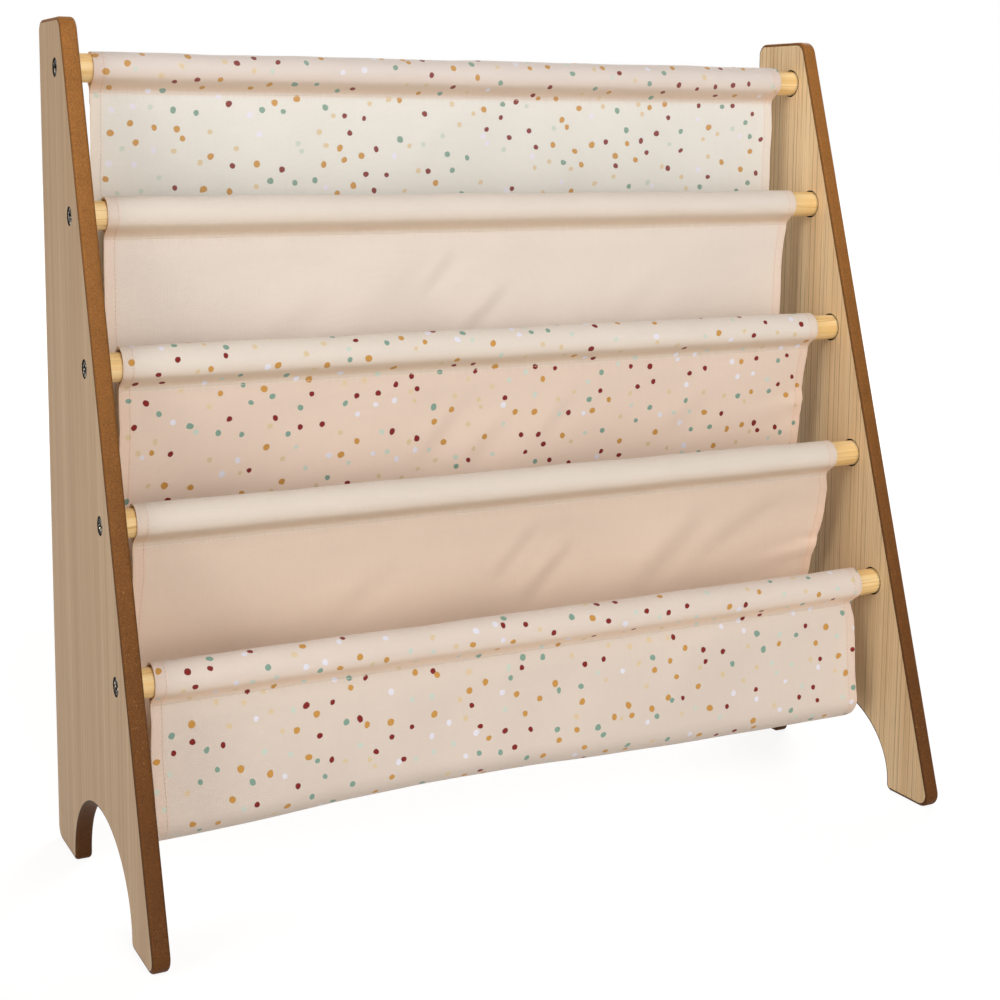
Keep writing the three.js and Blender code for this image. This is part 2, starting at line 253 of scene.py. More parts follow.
def inward_directions(loop):
    """Unit directions that point into a loop which runs clockwise, one for each point."""
    points = np.array(loop)
    ahead = np.roll(points, -1, 0) - points
    behind = points - np.roll(points, 1, 0)
    ahead /= np.linalg.norm(ahead, axis=1)[:, None]
    behind /= np.linalg.norm(behind, axis=1)[:, None]
    along = ahead + behind
    along /= np.linalg.norm(along, axis=1)[:, None]
    return np.stack([along[:, 1], -along[:, 0]], 1)


outline = board_outline()
print("board outline:", len(outline), "points")

# %% Drilled holes
COUNTERBORE_RADIUS, COUNTERBORE_DEPTH = 6.5 * MM, 4.8 * MM
BOLT_HOLE_RADIUS, SEAT_RADIUS, SEAT_DEPTH = 3.3 * MM, 11.1 * MM, 3.5 * MM
ROUND_SIDES, HOLE_CHAMFER, FLAT_MARGIN = 48, 0.15 * MM, 0.6 * MM
OUTER_FINISH, INNER_FINISH, EDGE_FINISH, HOLE_FINISH = 0, 1, 2, 3


def hole_profile():
    """Radius and depth of a hole, from the board's outer face at 0 to its inner face."""
    seat_floor = BOARD_THICKNESS - SEAT_DEPTH
    return [(COUNTERBORE_RADIUS + HOLE_CHAMFER, 0), (COUNTERBORE_RADIUS, HOLE_CHAMFER),
            (COUNTERBORE_RADIUS, COUNTERBORE_DEPTH), (BOLT_HOLE_RADIUS, COUNTERBORE_DEPTH),
            (BOLT_HOLE_RADIUS, seat_floor), (SEAT_RADIUS, seat_floor),
            (SEAT_RADIUS, BOARD_THICKNESS - HOLE_CHAMFER),
            (SEAT_RADIUS + HOLE_CHAMFER, BOARD_THICKNESS)]


def directions(sides):
    return np.arange(sides) / sides * 2 * math.pi


def ring(y, z, radius, x, sides=ROUND_SIDES):
    """Points round an axis along X. The radius is one number, or one for each direction."""
    angles = directions(sides)
    return [(x, *point) for point in zip(y + radius * np.cos(angles), z + radius * np.sin(angles))]


def flat_faces(shape, rows):
    """Triangles of the flat face between an outer loop and the loops of its holes."""
    flat = bmesh.new()
    known = {}
    for row in rows:
        corners = [flat.verts.new(shape.points[index]) for index in row]
        known.update(zip(corners, row))
        for here, corner in enumerate(corners):
            flat.edges.new((corner, corners[(here + 1) % len(corners)]))
    bmesh.ops.triangle_fill(flat, edges=flat.edges[:], use_beauty=True)
    faces = [tuple(known[corner] for corner in face.verts) for face in flat.faces]
    flat.free()
    return faces


print("hole profile:", len(hole_profile()), "rings")

# %% Build the boards
def board_shape():
    """The left board, whose outer face lies at X = -SHELF_HALF_WIDTH."""
    shape = Shape()
    loop, inward = np.array(outline), inward_directions(outline)
    outer_x = -SHELF_HALF_WIDTH

    def outline_row(inset, depth):
        return shape.row([(outer_x + depth, y, z) for y, z in loop + inward * inset])

    near = [(EDGE_ROUNDING * (1 - math.sin(a)), EDGE_ROUNDING * (1 - math.cos(a)))
            for a in np.linspace(0, math.pi / 2, ROUNDING_STEPS + 1)]
    far = [(inset, BOARD_THICKNESS - depth) for inset, depth in reversed(near)]
    outer_margin = outline_row(EDGE_ROUNDING + FLAT_MARGIN, 0)
    rounding = [outline_row(inset, depth) for inset, depth in near + far]
    inner_margin = outline_row(EDGE_ROUNDING + FLAT_MARGIN, BOARD_THICKNESS)
    shape.strip(outer_margin, rounding[0], OUTER_FINISH)
    shape.skin(rounding, EDGE_FINISH)
    shape.strip(rounding[-1], inner_margin, INNER_FINISH)
    outer_loops, inner_loops = [outer_margin], [inner_margin]
    profile = hole_profile()
    for place in rod_places:
        rings = [shape.row(ring(*place.yz, radius, outer_x + depth)) for radius, depth in profile]
        outer_flat, inner_flat = (
            shape.row(ring(*place.yz, radius + FLAT_MARGIN, outer_x + depth))
            for radius, depth in (profile[0], profile[-1]))
        shape.strip(outer_flat, rings[0], OUTER_FINISH)
        shape.skin(rings, HOLE_FINISH)
        shape.strip(rings[-1], inner_flat, INNER_FINISH)
        outer_loops.append(outer_flat)
        inner_loops.append(inner_flat)
    for loops, finish in ((outer_loops, OUTER_FINISH), (inner_loops, INNER_FINISH)):
        for face in flat_faces(shape, loops):
            shape.face(face, finish)
    return shape


def with_outward_faces(piece):
    """Turns every face of a closed mesh outward."""
    work = bmesh.new()
    work.from_mesh(piece.data)
    bmesh.ops.recalc_face_normals(work, faces=work.faces[:])
    work.to_mesh(piece.data)
    work.free()
    piece.data.set_sharp_from_angle(angle=CRISP_ANGLE)
    return piece


left_shape = board_shape()
boards = {"left": with_outward_faces(left_shape.make("board_left")),
          "right": with_outward_faces(left_shape.mirrored().make("board_right"))}
for side, board in boards.items():
    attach(board, "root")
    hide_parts(f"side_board_{side}")
    print("board", side, len(board.data.polygons), "faces")

# %% [markdown]
# ## The bolts
# A dark bolt with a hexagon socket sits sunk in the board at each end of each rod. Its plain
# solid has twelve sides, which shows in a close view. It is turned here like a part on a lathe:
# a profile of radii and distances is swept round the axis in forty-eight steps, and the last
# ring of the head runs into the six-sided socket.

# %% Bolt
EASE_STEPS = 4
HEAD_RADIUS, HEAD_HEIGHT, HEAD_UNDER, HEAD_EASE = 6.1 * MM, 4.1 * MM, 4.5 * MM, 0.9 * MM
SHANK_RADIUS, SHANK_REACH = 3 * MM, 18 * MM
SOCKET_WIDTH, SOCKET_DEPTH, SOCKET_CHAMFER = 4 * MM, 2.2 * MM, 0.25 * MM
SOCKET_TIP_RADIUS = SOCKET_WIDTH * 0.12


def hexagon_rim(width):
    """Distance from the middle of a hexagon to its rim in each direction of a ring."""
    sixth = math.pi / 3
    return width / 2 / np.cos(directions(ROUND_SIDES) % sixth - sixth / 2)


def bolt_profile():
    """Radius and depth of a bolt, from its socket's tip over its head to its shank's tip."""
    top, tip = HEAD_UNDER - HEAD_HEIGHT, BOARD_THICKNESS + SHANK_REACH
    eased = [(HEAD_RADIUS - HEAD_EASE * (1 - math.sin(a)), top + HEAD_EASE * (1 - math.cos(a)))
             for a in np.linspace(0, math.pi / 2, EASE_STEPS + 1)]
    return [(SOCKET_TIP_RADIUS, top + SOCKET_DEPTH + SOCKET_CHAMFER * 2),
            (hexagon_rim(SOCKET_WIDTH), top + SOCKET_DEPTH),
            (hexagon_rim(SOCKET_WIDTH), top + SOCKET_CHAMFER),
            (hexagon_rim(SOCKET_WIDTH + 2 * SOCKET_CHAMFER), top),
            (HEAD_RADIUS - HEAD_EASE * 1.5, top), *eased,
            (HEAD_RADIUS, HEAD_UNDER), (SHANK_RADIUS, HEAD_UNDER),
            (SHANK_RADIUS, tip - HEAD_EASE), (SHANK_RADIUS - HEAD_EASE, tip)]


def bolt_shape(place):
    """A bolt in the left board."""
    shape = Shape()
    shape.closed_skin([shape.row(ring(*place.yz, radius, depth - SHELF_HALF_WIDTH))
                       for radius, depth in bolt_profile()])
    return shape


for number, place in zip(ROD_NUMBERS, rod_places):
    shape = bolt_shape(place)
    for side, turned in (("left", shape), ("right", shape.mirrored())):
        bolt = with_outward_faces(turned.make(f"socket_bolt_{side}_{number}"))
        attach(bolt, "root")
        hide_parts(f"bolt_{side}_{number}")
print("bolts:", 2 * ROD_COUNT, "with", len(shape.faces), "faces each")

# %% [markdown]
# ## How the sling hangs
# The sling is five panels of cotton twill. Each panel is one long strip: it starts where a
# pocket's bottom is lapped up the wall behind it, goes round that bottom and up the pocket's
# front, over a rod in a sewn sleeve, and down again as the wall of the next pocket. Cloth
# simulation could hang it, but a sewn sling is shaped by its seams and by the weight of its
# pockets, and the photograph fixes where each wall hangs. So the strip's path is computed from
# the side for every place across the width, and soft folds are added to that path: a sum of slow
# waves everywhere, a few level creases at two right-hand hems, and single slanted folds.

# %% Sizes of the sling
SOLID_CLOTH, LAYER_GAP = 1.5 * MM, 0.8 * MM
panel_low, panel_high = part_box("sling_panel_1")
CLOTH_HALF_WIDTH, CLOTH_MIDDLE = (panel_high.x - panel_low.x) / 2, (panel_high.x + panel_low.x) / 2
STITCH_DROP, STITCH_BACK, SEAM_FLARE = 17 * MM, 2 * MM, 12 * MM
POCKET_DROP, POCKET_ROUND, SEAM_LAP, HEM_LENGTH = 117 * MM, 22 * MM, 10 * MM, 7.5 * MM
SLING_LEAN, LEAN_REACH, LEAN_SHARES = 28 * MM, 120 * MM, (0.05, 0.14, 0.57, 1, -0.36)
RIPPLE_DEPTH = 2.2 * MM
RIPPLE_COUNTS, RIPPLE_PHASES = (1.5, 2.1, 1.7, 2.4, 1.9), (0.1, 0.45, 0.8, 0.25, 0.6)
HUMP_HEIGHT, HUMP_PLACES = 6 * MM, (0.08, -0.12, 0.05, -0.09)
CLOTH_THICKNESS = 0.8 * MM
TWO_LAYERS = SOLID_CLOTH + LAYER_GAP
SEAM_OFFSET = CLOTH_THICKNESS / 2 + 0.03 * MM
LAST = ROD_COUNT - 1


def smooth_step(value):
    value = np.clip(value, 0, 1)
    return value * value * (3 - 2 * value)


def slow_waves(seed, count, shortest, longest, stretch_down):
    """Directions, rates and phases of random waves whose sum looks like soft folds."""
    draw = np.random.default_rng(seed)
    length = shortest * (longest / shortest) ** draw.random(count)
    heading = (draw.random(count) - 0.5) * math.pi * 0.8
    rate, phase = 2 * math.pi / length, draw.random(count) * 2 * math.pi
    return rate * np.cos(heading), rate * np.sin(heading) / stretch_down, phase


FOLDS = [slow_waves(31 + panel, 9, 70 * MM, 210 * MM, 1.6) for panel in range(ROD_COUNT)]
FOLD_DEPTHS = np.array((0.35, 0.70, 0.60, 0.60, 0.75)) * MM


def folds(panel, x, z):
    """How far a panel's slow waves push it forward or back."""
    across, down, phase = FOLDS[panel]
    waves = [np.sin(a * x + d * z + p) for a, d, p in zip(across, down, phase)]
    return FOLD_DEPTHS[panel] * sum(waves) / math.sqrt(len(waves) / 2)


CREASES = {2: ((34, 1.0), (42, -1.2), (57, 0.8)),  # of a panel: mm below its seam, and depth in mm
           3: ((52, 1.0), (61, -1.3), (73, 0.9))}
CREASE_WIDTH, CREASE_REACH, CREASE_SLOPE = 3.4 * MM, 75 * MM, 0.14


def side_creases(panel, fall, x):
    """Short level creases from the right-hand hem, where the cloth is gathered a little."""
    from_hem = CLOTH_HALF_WIDTH - x
    ridge = np.zeros_like(fall * x)
    for drop, depth in CREASES.get(panel, ()):
        away = (fall - drop * MM - CREASE_SLOPE * from_hem) / CREASE_WIDTH
        ridge = ridge + depth * MM * np.exp(-away ** 2)
    return ridge * smooth_step(1 - from_hem / CREASE_REACH)


SLANTS = (  # mm of each: place across, drop below the seam, length, width, depth; slope in degrees
    ((-25, 36, 44, 9, 0.9, 55), (120, 48, 50, 10, 0.7, 48)),
    ((-32, 26, 52, 8, 2.0, 50), (4, 60, 50, 8, 2.2, 44), (-70, 40, 60, 12, 1.0, 40),
     (-150, 60, 60, 13, 1.2, 38), (150, 50, 56, 13, 1.2, 40)),
    ((-45, 44, 56, 10, 1.6, 50), (-8, 56, 50, 10, 1.5, 46), (52, 40, 46, 9, 1.2, 52),
     (175, 46, 50, 11, 1.2, 34)),
    ((2, 34, 50, 9, 1.8, 54), (34, 54, 54, 10, 2.2, 52), (142, 46, 70, 16, 2.4, 46),
     (205, 34, 80, 13, 1.8, 30), (-120, 50, 56, 13, 1.2, 44)),
    ((-22, 16, 30, 9, 0.7, 72), (20, 22, 34, 9, 0.6, 66), (130, 40, 60, 13, 0.7, 58),
     (-150, 50, 60, 14, 0.7, 62)))


def slanted_folds(panel, fall, x):
    """Single soft folds, each a low ridge beside a shallow dip, that run up to the right."""
    relief = np.zeros_like(fall * x)
    for place, drop, length, width, depth, slope in SLANTS[panel]:
        lean = math.radians(slope)
        right, down = x - place * MM, fall - drop * MM
        along = (right * math.cos(lean) - down * math.sin(lean)) / (length / 2 * MM)
        aside = (right * math.sin(lean) + down * math.cos(lean)) / (width * MM)
        relief = relief + depth * MM * aside * np.exp(-aside ** 2 - along ** 4)
    return relief


print("folds of", len(FOLDS), "panels, depth", FOLD_DEPTHS, "creases on", len(CREASES),
      "slanted folds", [len(slants) for slants in SLANTS])

# %% Where the walls hang
LEAN_SOFTNESS, FOLD_START, LAP_GAP = 0.35, 28 * MM, 0.3 * MM


def lean_share(fall):
    """Share of the whole lean at a drop below the seam: nearly even, with a softer start."""
    share = np.clip(fall / LEAN_REACH, 0, 1)
    return share - LEAN_SOFTNESS * np.sin(2 * math.pi * share) / (2 * math.pi)


def wall_y(panel, z, x):
    """Level place of the cloth that hangs from one rod, halfway between its two layers."""
    rod = rod_places[panel]
    fall = rod.z - STITCH_DROP - z
    turns = x / (2 * CLOTH_HALF_WIDTH) * RIPPLE_COUNTS[panel] + RIPPLE_PHASES[panel]
    ripple = RIPPLE_DEPTH * np.sin(2 * math.pi * turns)
    lean = lean_share(fall) * (SLING_LEAN * LEAN_SHARES[panel] + ripple)
    relief = folds(panel, x, z) + side_creases(panel, fall, x) + slanted_folds(panel, fall, x)
    return rod.y + STITCH_BACK + lean + smooth_step(fall / FOLD_START) * relief


def layer_offset(panel, z):
    """Half the distance between two layers, which is least at the seam that joins them."""
    fall = rod_places[panel].z - STITCH_DROP - z
    return SEAM_OFFSET + (TWO_LAYERS / 2 - SEAM_OFFSET) * smooth_step(fall / SEAM_FLARE)


def front_layer_y(panel, z, x):
    return wall_y(panel, z, x) - layer_offset(panel, z)


def rear_layer_y(panel, z, x):
    return wall_y(panel, z, x) + layer_offset(panel, z)


def lap_y(pocket, z, x):
    return front_layer_y(pocket, z, x) - SOLID_CLOTH - LAP_GAP


def pocket_front_y(pocket, z, x):
    layer = front_layer_y if pocket + 1 == LAST else rear_layer_y
    return layer(pocket + 1, z, x)


def pocket_bottom(pocket, x):
    """Middle, half width, rise and level of a pocket's round bottom at each place across."""
    away = x / (2 * CLOTH_HALF_WIDTH) - HUMP_PLACES[pocket]
    hump = HUMP_HEIGHT * (1 + np.cos(2 * math.pi * away)) / 2
    lowest = rod_places[pocket + 1].z - POCKET_DROP + SOLID_CLOTH / 2 + hump
    above = lowest + POCKET_ROUND
    front = np.maximum(*(pocket_front_y(pocket, level, x) for level in (above, lowest)))
    rear = lap_y(pocket, above, x)
    reach = (rear - front) / 2
    rise = np.minimum(reach, POCKET_ROUND)
    return (front + rear) / 2, reach, rise, lowest + rise


print("pocket 4 in its middle:", [round(float(v), 4) for v in pocket_bottom(3, np.array(0.0))])

# %% [markdown]
# ## Path of a strip
# The path is laid out in stretches with a fixed number of steps each, so that neighbouring
# places across the width can be joined by faces: the lap, the round bottom, the front wall, the
# sleeve and the wall that hangs in front. The sleeve is a loose ring. It stands off its rod by a
# little more at one end than at the other, as the cloth does. Below the rod its two sides come
# together in a soft S, and they are upright where the seam joins them.

# %% Stretches of the path
SLEEVE_TOPS = np.array(((10.9, 12.3), (12.6, 11.0), (13.6, 12.1), (12.1, 11.4), (12.8, 12.2))) * MM
SLEEVE_SIDE = 11.5 * MM
SLEEVE_WAVER = ((41, 2.1, 1.0), (73, 1.3, 0.6), (131, 1.0, 0.4))  # rate, shift of a panel, share
TOP_WAVER_DEPTH, SIDE_WAVER_DEPTH, SIDE_WAVER_RATE = 0.22 * MM, 0.18 * MM, 57
SLEEVE_TURN_UNDER, FLANK_PULL, SEAM_PULL = 0.5, 13 * MM, 15 * MM
LAP_STEPS, BOTTOM_STEPS, WALL_STEPS, FLANK_STEPS, SLEEVE_STEPS, HEM_STEPS = 4, 26, 40, 14, 36, 4
CLOSER_AT_SEAM, WALL_BLEND, LAP_BLEND, TUCK = 1.25, 25 * MM, 9 * MM, 2 * MM


def level_points(layer, number, top, bottom, steps, x, near_top=1.0):
    """y and z down a layer, with a row for each step and a column for each place across."""
    share = np.linspace(0, 1, steps + 1)[:, None] ** near_top
    z = top + (bottom - top) * share
    return layer(number, z, x[None, :]), z


def flank_points(foot_y, foot_z, end_y, end_z, side):
    """A soft S from the seam, where it runs straight up, to the end of the sleeve's ring."""
    t = (np.arange(FLANK_STEPS) / FLANK_STEPS)[:, None]
    from_foot, from_end = 2 * t ** 3 - 3 * t ** 2 + 1, 3 * t ** 2 - 2 * t ** 3
    leave, arrive = t ** 3 - 2 * t ** 2 + t, t ** 3 - t ** 2
    out, up = FLANK_PULL * math.sin(SLEEVE_TURN_UNDER), FLANK_PULL * math.cos(SLEEVE_TURN_UNDER)
    return (from_foot * foot_y + from_end * end_y + arrive * side * out,
            from_foot * foot_z + from_end * end_z + leave * SEAM_PULL + arrive * up)


def sleeve_points(panel, x):
    """From the rear foot of the seam, over the rod, to the front foot."""
    rod = rod_places[panel]
    left_top, right_top = SLEEVE_TOPS[panel]
    share = (x + CLOTH_HALF_WIDTH) / (2 * CLOTH_HALF_WIDTH)
    top = left_top + (right_top - left_top) * share
    waver = sum(share * np.sin(x * rate + panel * shift) for rate, shift, share in SLEEVE_WAVER)
    top = top + TOP_WAVER_DEPTH * waver
    side = SLEEVE_SIDE + SIDE_WAVER_DEPTH * np.sin(x * SIDE_WAVER_RATE + panel * 0.9)
    angles = np.linspace(-SLEEVE_TURN_UNDER, math.pi + SLEEVE_TURN_UNDER, SLEEVE_STEPS + 1)
    ring_y = np.array([rod.y + side * math.cos(a) for a in angles])
    ring_z = np.array([rod.z + (top if math.sin(a) > 0 else side) * math.sin(a) for a in angles])
    seam_y, seam_z = rod.y + STITCH_BACK, rod.z - STITCH_DROP
    rear = flank_points(seam_y + SEAM_OFFSET, seam_z, ring_y[0], ring_z[0], 1)
    front = flank_points(seam_y - SEAM_OFFSET, seam_z, ring_y[-1], ring_z[-1], -1)
    y = np.concatenate([rear[0], ring_y, front[0][::-1]])
    z = np.concatenate([rear[1], ring_z, front[1][::-1]])
    return y, z


def pocket_points(pocket, x):
    """From the front wall's seam down, round the bottom and up the lap."""
    middle, reach, rise, level = pocket_bottom(pocket, x)
    top = rod_places[pocket + 1].z - STITCH_DROP
    front_y, front_z = level_points(pocket_front_y, pocket, top, level, WALL_STEPS, x,
                                    CLOSER_AT_SEAM)
    angles = np.linspace(math.pi, 2 * math.pi, BOTTOM_STEPS + 1)[1:-1, None]
    bottom_y, bottom_z = middle + reach * np.cos(angles), level + rise * np.sin(angles)
    rear_y, rear_z = level_points(lap_y, pocket, level, level + SEAM_LAP, LAP_STEPS, x)
    front_blend = smooth_step(1 - (front_z - level) / WALL_BLEND)
    front_y = front_y + front_blend * (middle - reach - front_y[-1])
    rear_blend = smooth_step(1 - (rear_z - level) / LAP_BLEND)
    rear_y = rear_y + rear_blend * (middle + reach - rear_y[0])
    return (np.concatenate([front_y, bottom_y, rear_y]),
            np.concatenate([front_z, bottom_z, rear_z]))


def strip_path(panel, x):
    """The whole strip of a panel, from behind the rod over it and down its front."""
    seam_z = rod_places[panel].z - STITCH_DROP
    if panel in (0, LAST):
        rear = level_points(rear_layer_y, panel, seam_z, seam_z - HEM_LENGTH, HEM_STEPS, x)
    else:
        rear = pocket_points(panel - 1, x)
    if panel == LAST:
        front = pocket_points(panel - 1, x)
    else:
        lowest = pocket_bottom(panel, x)[3] - TUCK
        front = level_points(front_layer_y, panel, seam_z, lowest, WALL_STEPS, x, CLOSER_AT_SEAM)
    sleeve = sleeve_points(panel, x)
    y = np.concatenate([rear[0][:0:-1] + 0 * x, sleeve[0], front[0][1:] + 0 * x])
    z = np.concatenate([rear[1][:0:-1] + 0 * x, sleeve[1], front[1][1:] + 0 * x])
    front_seam_row = len(rear[0]) - 1 + len(sleeve[0]) - 1
    return y, z, front_seam_row


across = np.linspace(-CLOTH_HALF_WIDTH, CLOTH_HALF_WIDTH, 5)
for panel in range(ROD_COUNT):
    y, z, seam_row = strip_path(panel, across)
    print("panel", panel + 1, "rows", len(y), "lowest", round(float(z.min()), 4), "seam", seam_row)

# %% [markdown]
# ## From the path to cloth
# The strip gets two skins, half its thickness to either side of the path, and a rim that joins
# them. Along both side edges the cloth is turned in and sewn, so it is twice as thick there. Two
# maps of texture places go with it. One counts real lengths from the seam and from the middle,
# for the weave and the stitches. The other is shifted for each panel, so that no two panels show
# the same bit of the print.

# %% Strip to mesh
SIDE_HEM, HEM_STEP, EDGE_EASE = 9 * MM, 0.35 * MM, 0.35 * MM
STATION_SPACING = 3.0 * MM
OUTER_SKIN, INNER_SKIN = 0, 1
PRINT_STEP, PRINT_START = (1.7, 0.83), (0.9, 1.1)


def stations():
    """Places across the width: even ones, and close pairs where the side hems begin and end."""
    edge = CLOTH_HALF_WIDTH
    inner = np.linspace(-edge + SIDE_HEM + 2 * HEM_STEP, edge - SIDE_HEM - 2 * HEM_STEP,
                        round(2 * edge / STATION_SPACING))
    rim = np.array((0, EDGE_EASE * 0.4, EDGE_EASE * 1.2, 2.5 * MM, 5 * MM, 7 * MM,
                    SIDE_HEM - HEM_STEP, SIDE_HEM))
    return np.concatenate([-edge + rim, inner, (edge - rim)[::-1]])


def hem_share(x):
    """1 where the cloth is turned in along its sides, 0 elsewhere."""
    from_edge = CLOTH_HALF_WIDTH - np.abs(x)
    return 1 - smooth_step((from_edge - SIDE_HEM + HEM_STEP) / HEM_STEP)


def rim_share(x):
    """Rounds the folded edge over: half thickness at the very side, full just inside it."""
    from_edge = CLOTH_HALF_WIDTH - np.abs(x)
    return np.sqrt(np.clip(0.16 + 0.84 * from_edge / (EDGE_EASE * 1.2), 0, 1))


DRAW_IN = (  # mm by which a panel is narrower than its solid: left, right sleeve, right wall
    (3.0, 0.0, 0.4), (2.5, 4.6, 7.0), (2.2, 3.2, 4.2), (0.9, 4.7, 2.6), (2.0, 1.2, -1.5))
CORNER_DRAW_IN, CORNER_HEIGHT = 5 * MM, 7 * MM
SLEEVE_TO_WALL, EDGE_WAVER_DEPTH, EDGE_WAVER_START = 14 * MM, 0.6 * MM, 30 * MM


def side_scale(panel, z, x):
    """Places across, changed so that the side edges are drawn in unevenly and waver."""
    fall = rod_places[panel].z - STITCH_DROP - z
    left, right_sleeve, right_wall = (value * MM for value in DRAW_IN[panel])
    right = right_sleeve + (right_wall - right_sleeve) * smooth_step(fall / SLEEVE_TO_WALL)
    near_side = np.abs(x) / CLOTH_HALF_WIDTH
    waver = np.sin(fall * 52 + panel * 1.7 + np.sign(x)) + 0.5 * np.sin(fall * 121 + panel)
    draw_in = np.where(x < 0, left, right) * near_side
    waver = waver * smooth_step(fall / EDGE_WAVER_START) * EDGE_WAVER_DEPTH
    draw_in = draw_in - near_side ** 8 * waver
    if panel:
        from_bottom = (z - z.min(axis=0)) / CORNER_HEIGHT
        draw_in = draw_in + CORNER_DRAW_IN * near_side ** 30 * smooth_step(1 - from_bottom)
    return x - np.sign(x) * draw_in


def cloth_strip(panel):
    """Points, lengths and outward directions of one panel, by row and station."""
    x = stations()
    y, z, seam_row = strip_path(panel, x)
    along_y, along_z = np.gradient(y, axis=0), np.gradient(z, axis=0)
    size = np.hypot(along_y, along_z)
    normal_y, normal_z = along_z / size, -along_y / size
    step = np.hypot(np.diff(y, axis=0), np.diff(z, axis=0))
    length = np.concatenate([np.zeros((1, len(x))), np.cumsum(step, 0)])
    length = length - length[seam_row]
    return x, y, z, normal_y, normal_z, length, seam_row


def cloth_piece(panel, name):
    x, y, z, normal_y, normal_z, length, seam_row = cloth_strip(panel)
    half = CLOTH_THICKNESS / 2
    outer = half * rim_share(x)
    inner = (half + CLOTH_THICKNESS * hem_share(x)) * rim_share(x)
    shape = Shape()
    wide = side_scale(panel, z, x[None, :] + 0 * y)

    def skin_rows(offset):
        points = np.stack([wide + CLOTH_MIDDLE, y + normal_y * offset, z + normal_z * offset], -1)
        return [shape.row(row) for row in points]

    outer_rows, inner_rows = skin_rows(outer), skin_rows(-inner)
    shape.skin(outer_rows, OUTER_SKIN, is_loop=False)
    shape.skin(inner_rows, INNER_SKIN, is_loop=False)
    for row, other in ((outer_rows[0], inner_rows[0]), (outer_rows[-1], inner_rows[-1])):
        shape.strip(row, other, OUTER_SKIN, is_loop=False)
    for end in (0, -1):
        sides = [[row[end] for row in rows] for rows in (outer_rows, inner_rows)]
        shape.strip(*sides, OUTER_SKIN, is_loop=False)
    piece = with_outward_faces(shape.make(name))
    places = np.tile(np.stack([x[None, :] + 0 * y, length], -1).reshape(-1, 2), (2, 1))
    corners = np.empty(len(piece.data.loops), int)
    piece.data.loops.foreach_get("vertex_index", corners)
    print_shift = np.array(PRINT_STEP) * panel + PRINT_START
    for map_name, shift in (("cloth", (0, 0)), ("print", print_shift)):
        layer = piece.data.uv_layers.new(name=map_name)
        layer.data.foreach_set("uv", (places[corners] + shift).ravel())
    return piece, float((length[-1] - length[0]).mean())


slings, strip_lengths = [], []
for panel in range(ROD_COUNT):
    sling, strip_length = cloth_piece(panel, f"sling_{panel + 1}")
    slings.append(sling)
    strip_lengths.append(strip_length)
    print(sling.name, len(sling.data.polygons), "faces, strip", round(strip_length, 4), "m long")

# %% [markdown]
# ## The seams' thread
# Under each rod a row of machine stitches closes the sleeve. From close by, each stitch is a
# short raised bead of thread. A bump in the finish would vanish in a side view, so the beads are
# real: small six-sided drops, one every three millimetres, on both faces of the seam.

# %% Stitches
STITCH_PITCH, STITCH_LENGTH, THREAD_RADIUS = 3.1 * MM, 2.3 * MM, 0.24 * MM
STITCH_SIDES = 6
BEAD_SHARES = ((-0.5, 0.25), (-0.36, 0.85), (0, 1.0), (0.36, 0.85), (0.5, 0.25))
FIRST_STITCH, LAST_STITCH = -CLOTH_HALF_WIDTH + 5 * MM, CLOTH_HALF_WIDTH - 9 * MM
THREAD_OFFSET, THREAD_DROP = SEAM_OFFSET + CLOTH_THICKNESS * 0.5 + THREAD_RADIUS * 0.35, 0.45 * MM


def add_bead(shape, x, y, z):
    shape.closed_skin([
        shape.row(ring(y, z, THREAD_RADIUS * girth, x + along * STITCH_LENGTH, STITCH_SIDES))
        for along, girth in BEAD_SHARES])


threads = []
for number, place in zip(ROD_NUMBERS, rod_places):
    shape = Shape()
    seam_y, thread_z = place.y + STITCH_BACK, place.z - STITCH_DROP - THREAD_DROP
    for x in np.arange(FIRST_STITCH, LAST_STITCH, STITCH_PITCH):
        for side in (-1, 1):
            add_bead(shape, x + CLOTH_MIDDLE, seam_y + side * THREAD_OFFSET, thread_z)
    threads.append(with_outward_faces(shape.make(f"seam_thread_{number}")))
bead_count = len(shape.points) // (STITCH_SIDES * len(BEAD_SHARES))
print("thread:", len(threads), "seams,", bead_count, "beads each")

# %% Attach the cloth to the frame
for number, sling, thread, strip_length in zip(ROD_NUMBERS, slings, threads, strip_lengths):
    slot = "dotted_cloth" if number % 2 else "plain_cloth"
    for piece in (sling, thread):
        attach(piece, "root")
    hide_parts(f"sling_panel_{number}")

# %% [markdown]
# ## Writing a finish as an expression
# A finish is a small sum: weave plus wear, minus a shadow in the seam. Built by hand, every plus
# and every times is a node and two links. So one class wraps the output of a node and gives it
# the signs of arithmetic, and another holds the material and makes any node from its kind, the
# values of its sockets and its settings.

# %% Finish helpers
class Wire:
    """A node's output that takes + - * and / with numbers, vectors and other outputs."""

    def __init__(self, finish, socket):
        self.finish, self.socket = finish, socket
        self.is_number = socket.type == "VALUE"

    def join(self, operation, first, second):
        numbers = [side for side in (first, second) if isinstance(side, (int, float))
                   or (isinstance(side, Wire) and side.is_number)]
        if len(numbers) == 2:
            return self.finish.node("Math", {0: first, 1: second}, operation=operation)
        if operation == "MULTIPLY" and numbers:
            return self.finish.tint(second if first is numbers[0] else first, numbers[0])
        return self.finish.node("VectorMath", {0: first, 1: second}, operation=operation)

    def __add__(self, other):
        return self.join("ADD", self, other)

    def __radd__(self, other):
        return self.join("ADD", other, self)

    def __sub__(self, other):
        return self.join("SUBTRACT", self, other)

    def __rsub__(self, other):
        return self.join("SUBTRACT", other, self)

    def __mul__(self, other):
        return self.join("MULTIPLY", self, other)

    def __rmul__(self, other):
        return self.join("MULTIPLY", other, self)

    def __truediv__(self, other):
        return self.join("DIVIDE", self, other)

    def __rtruediv__(self, other):
        return self.join("DIVIDE", other, self)


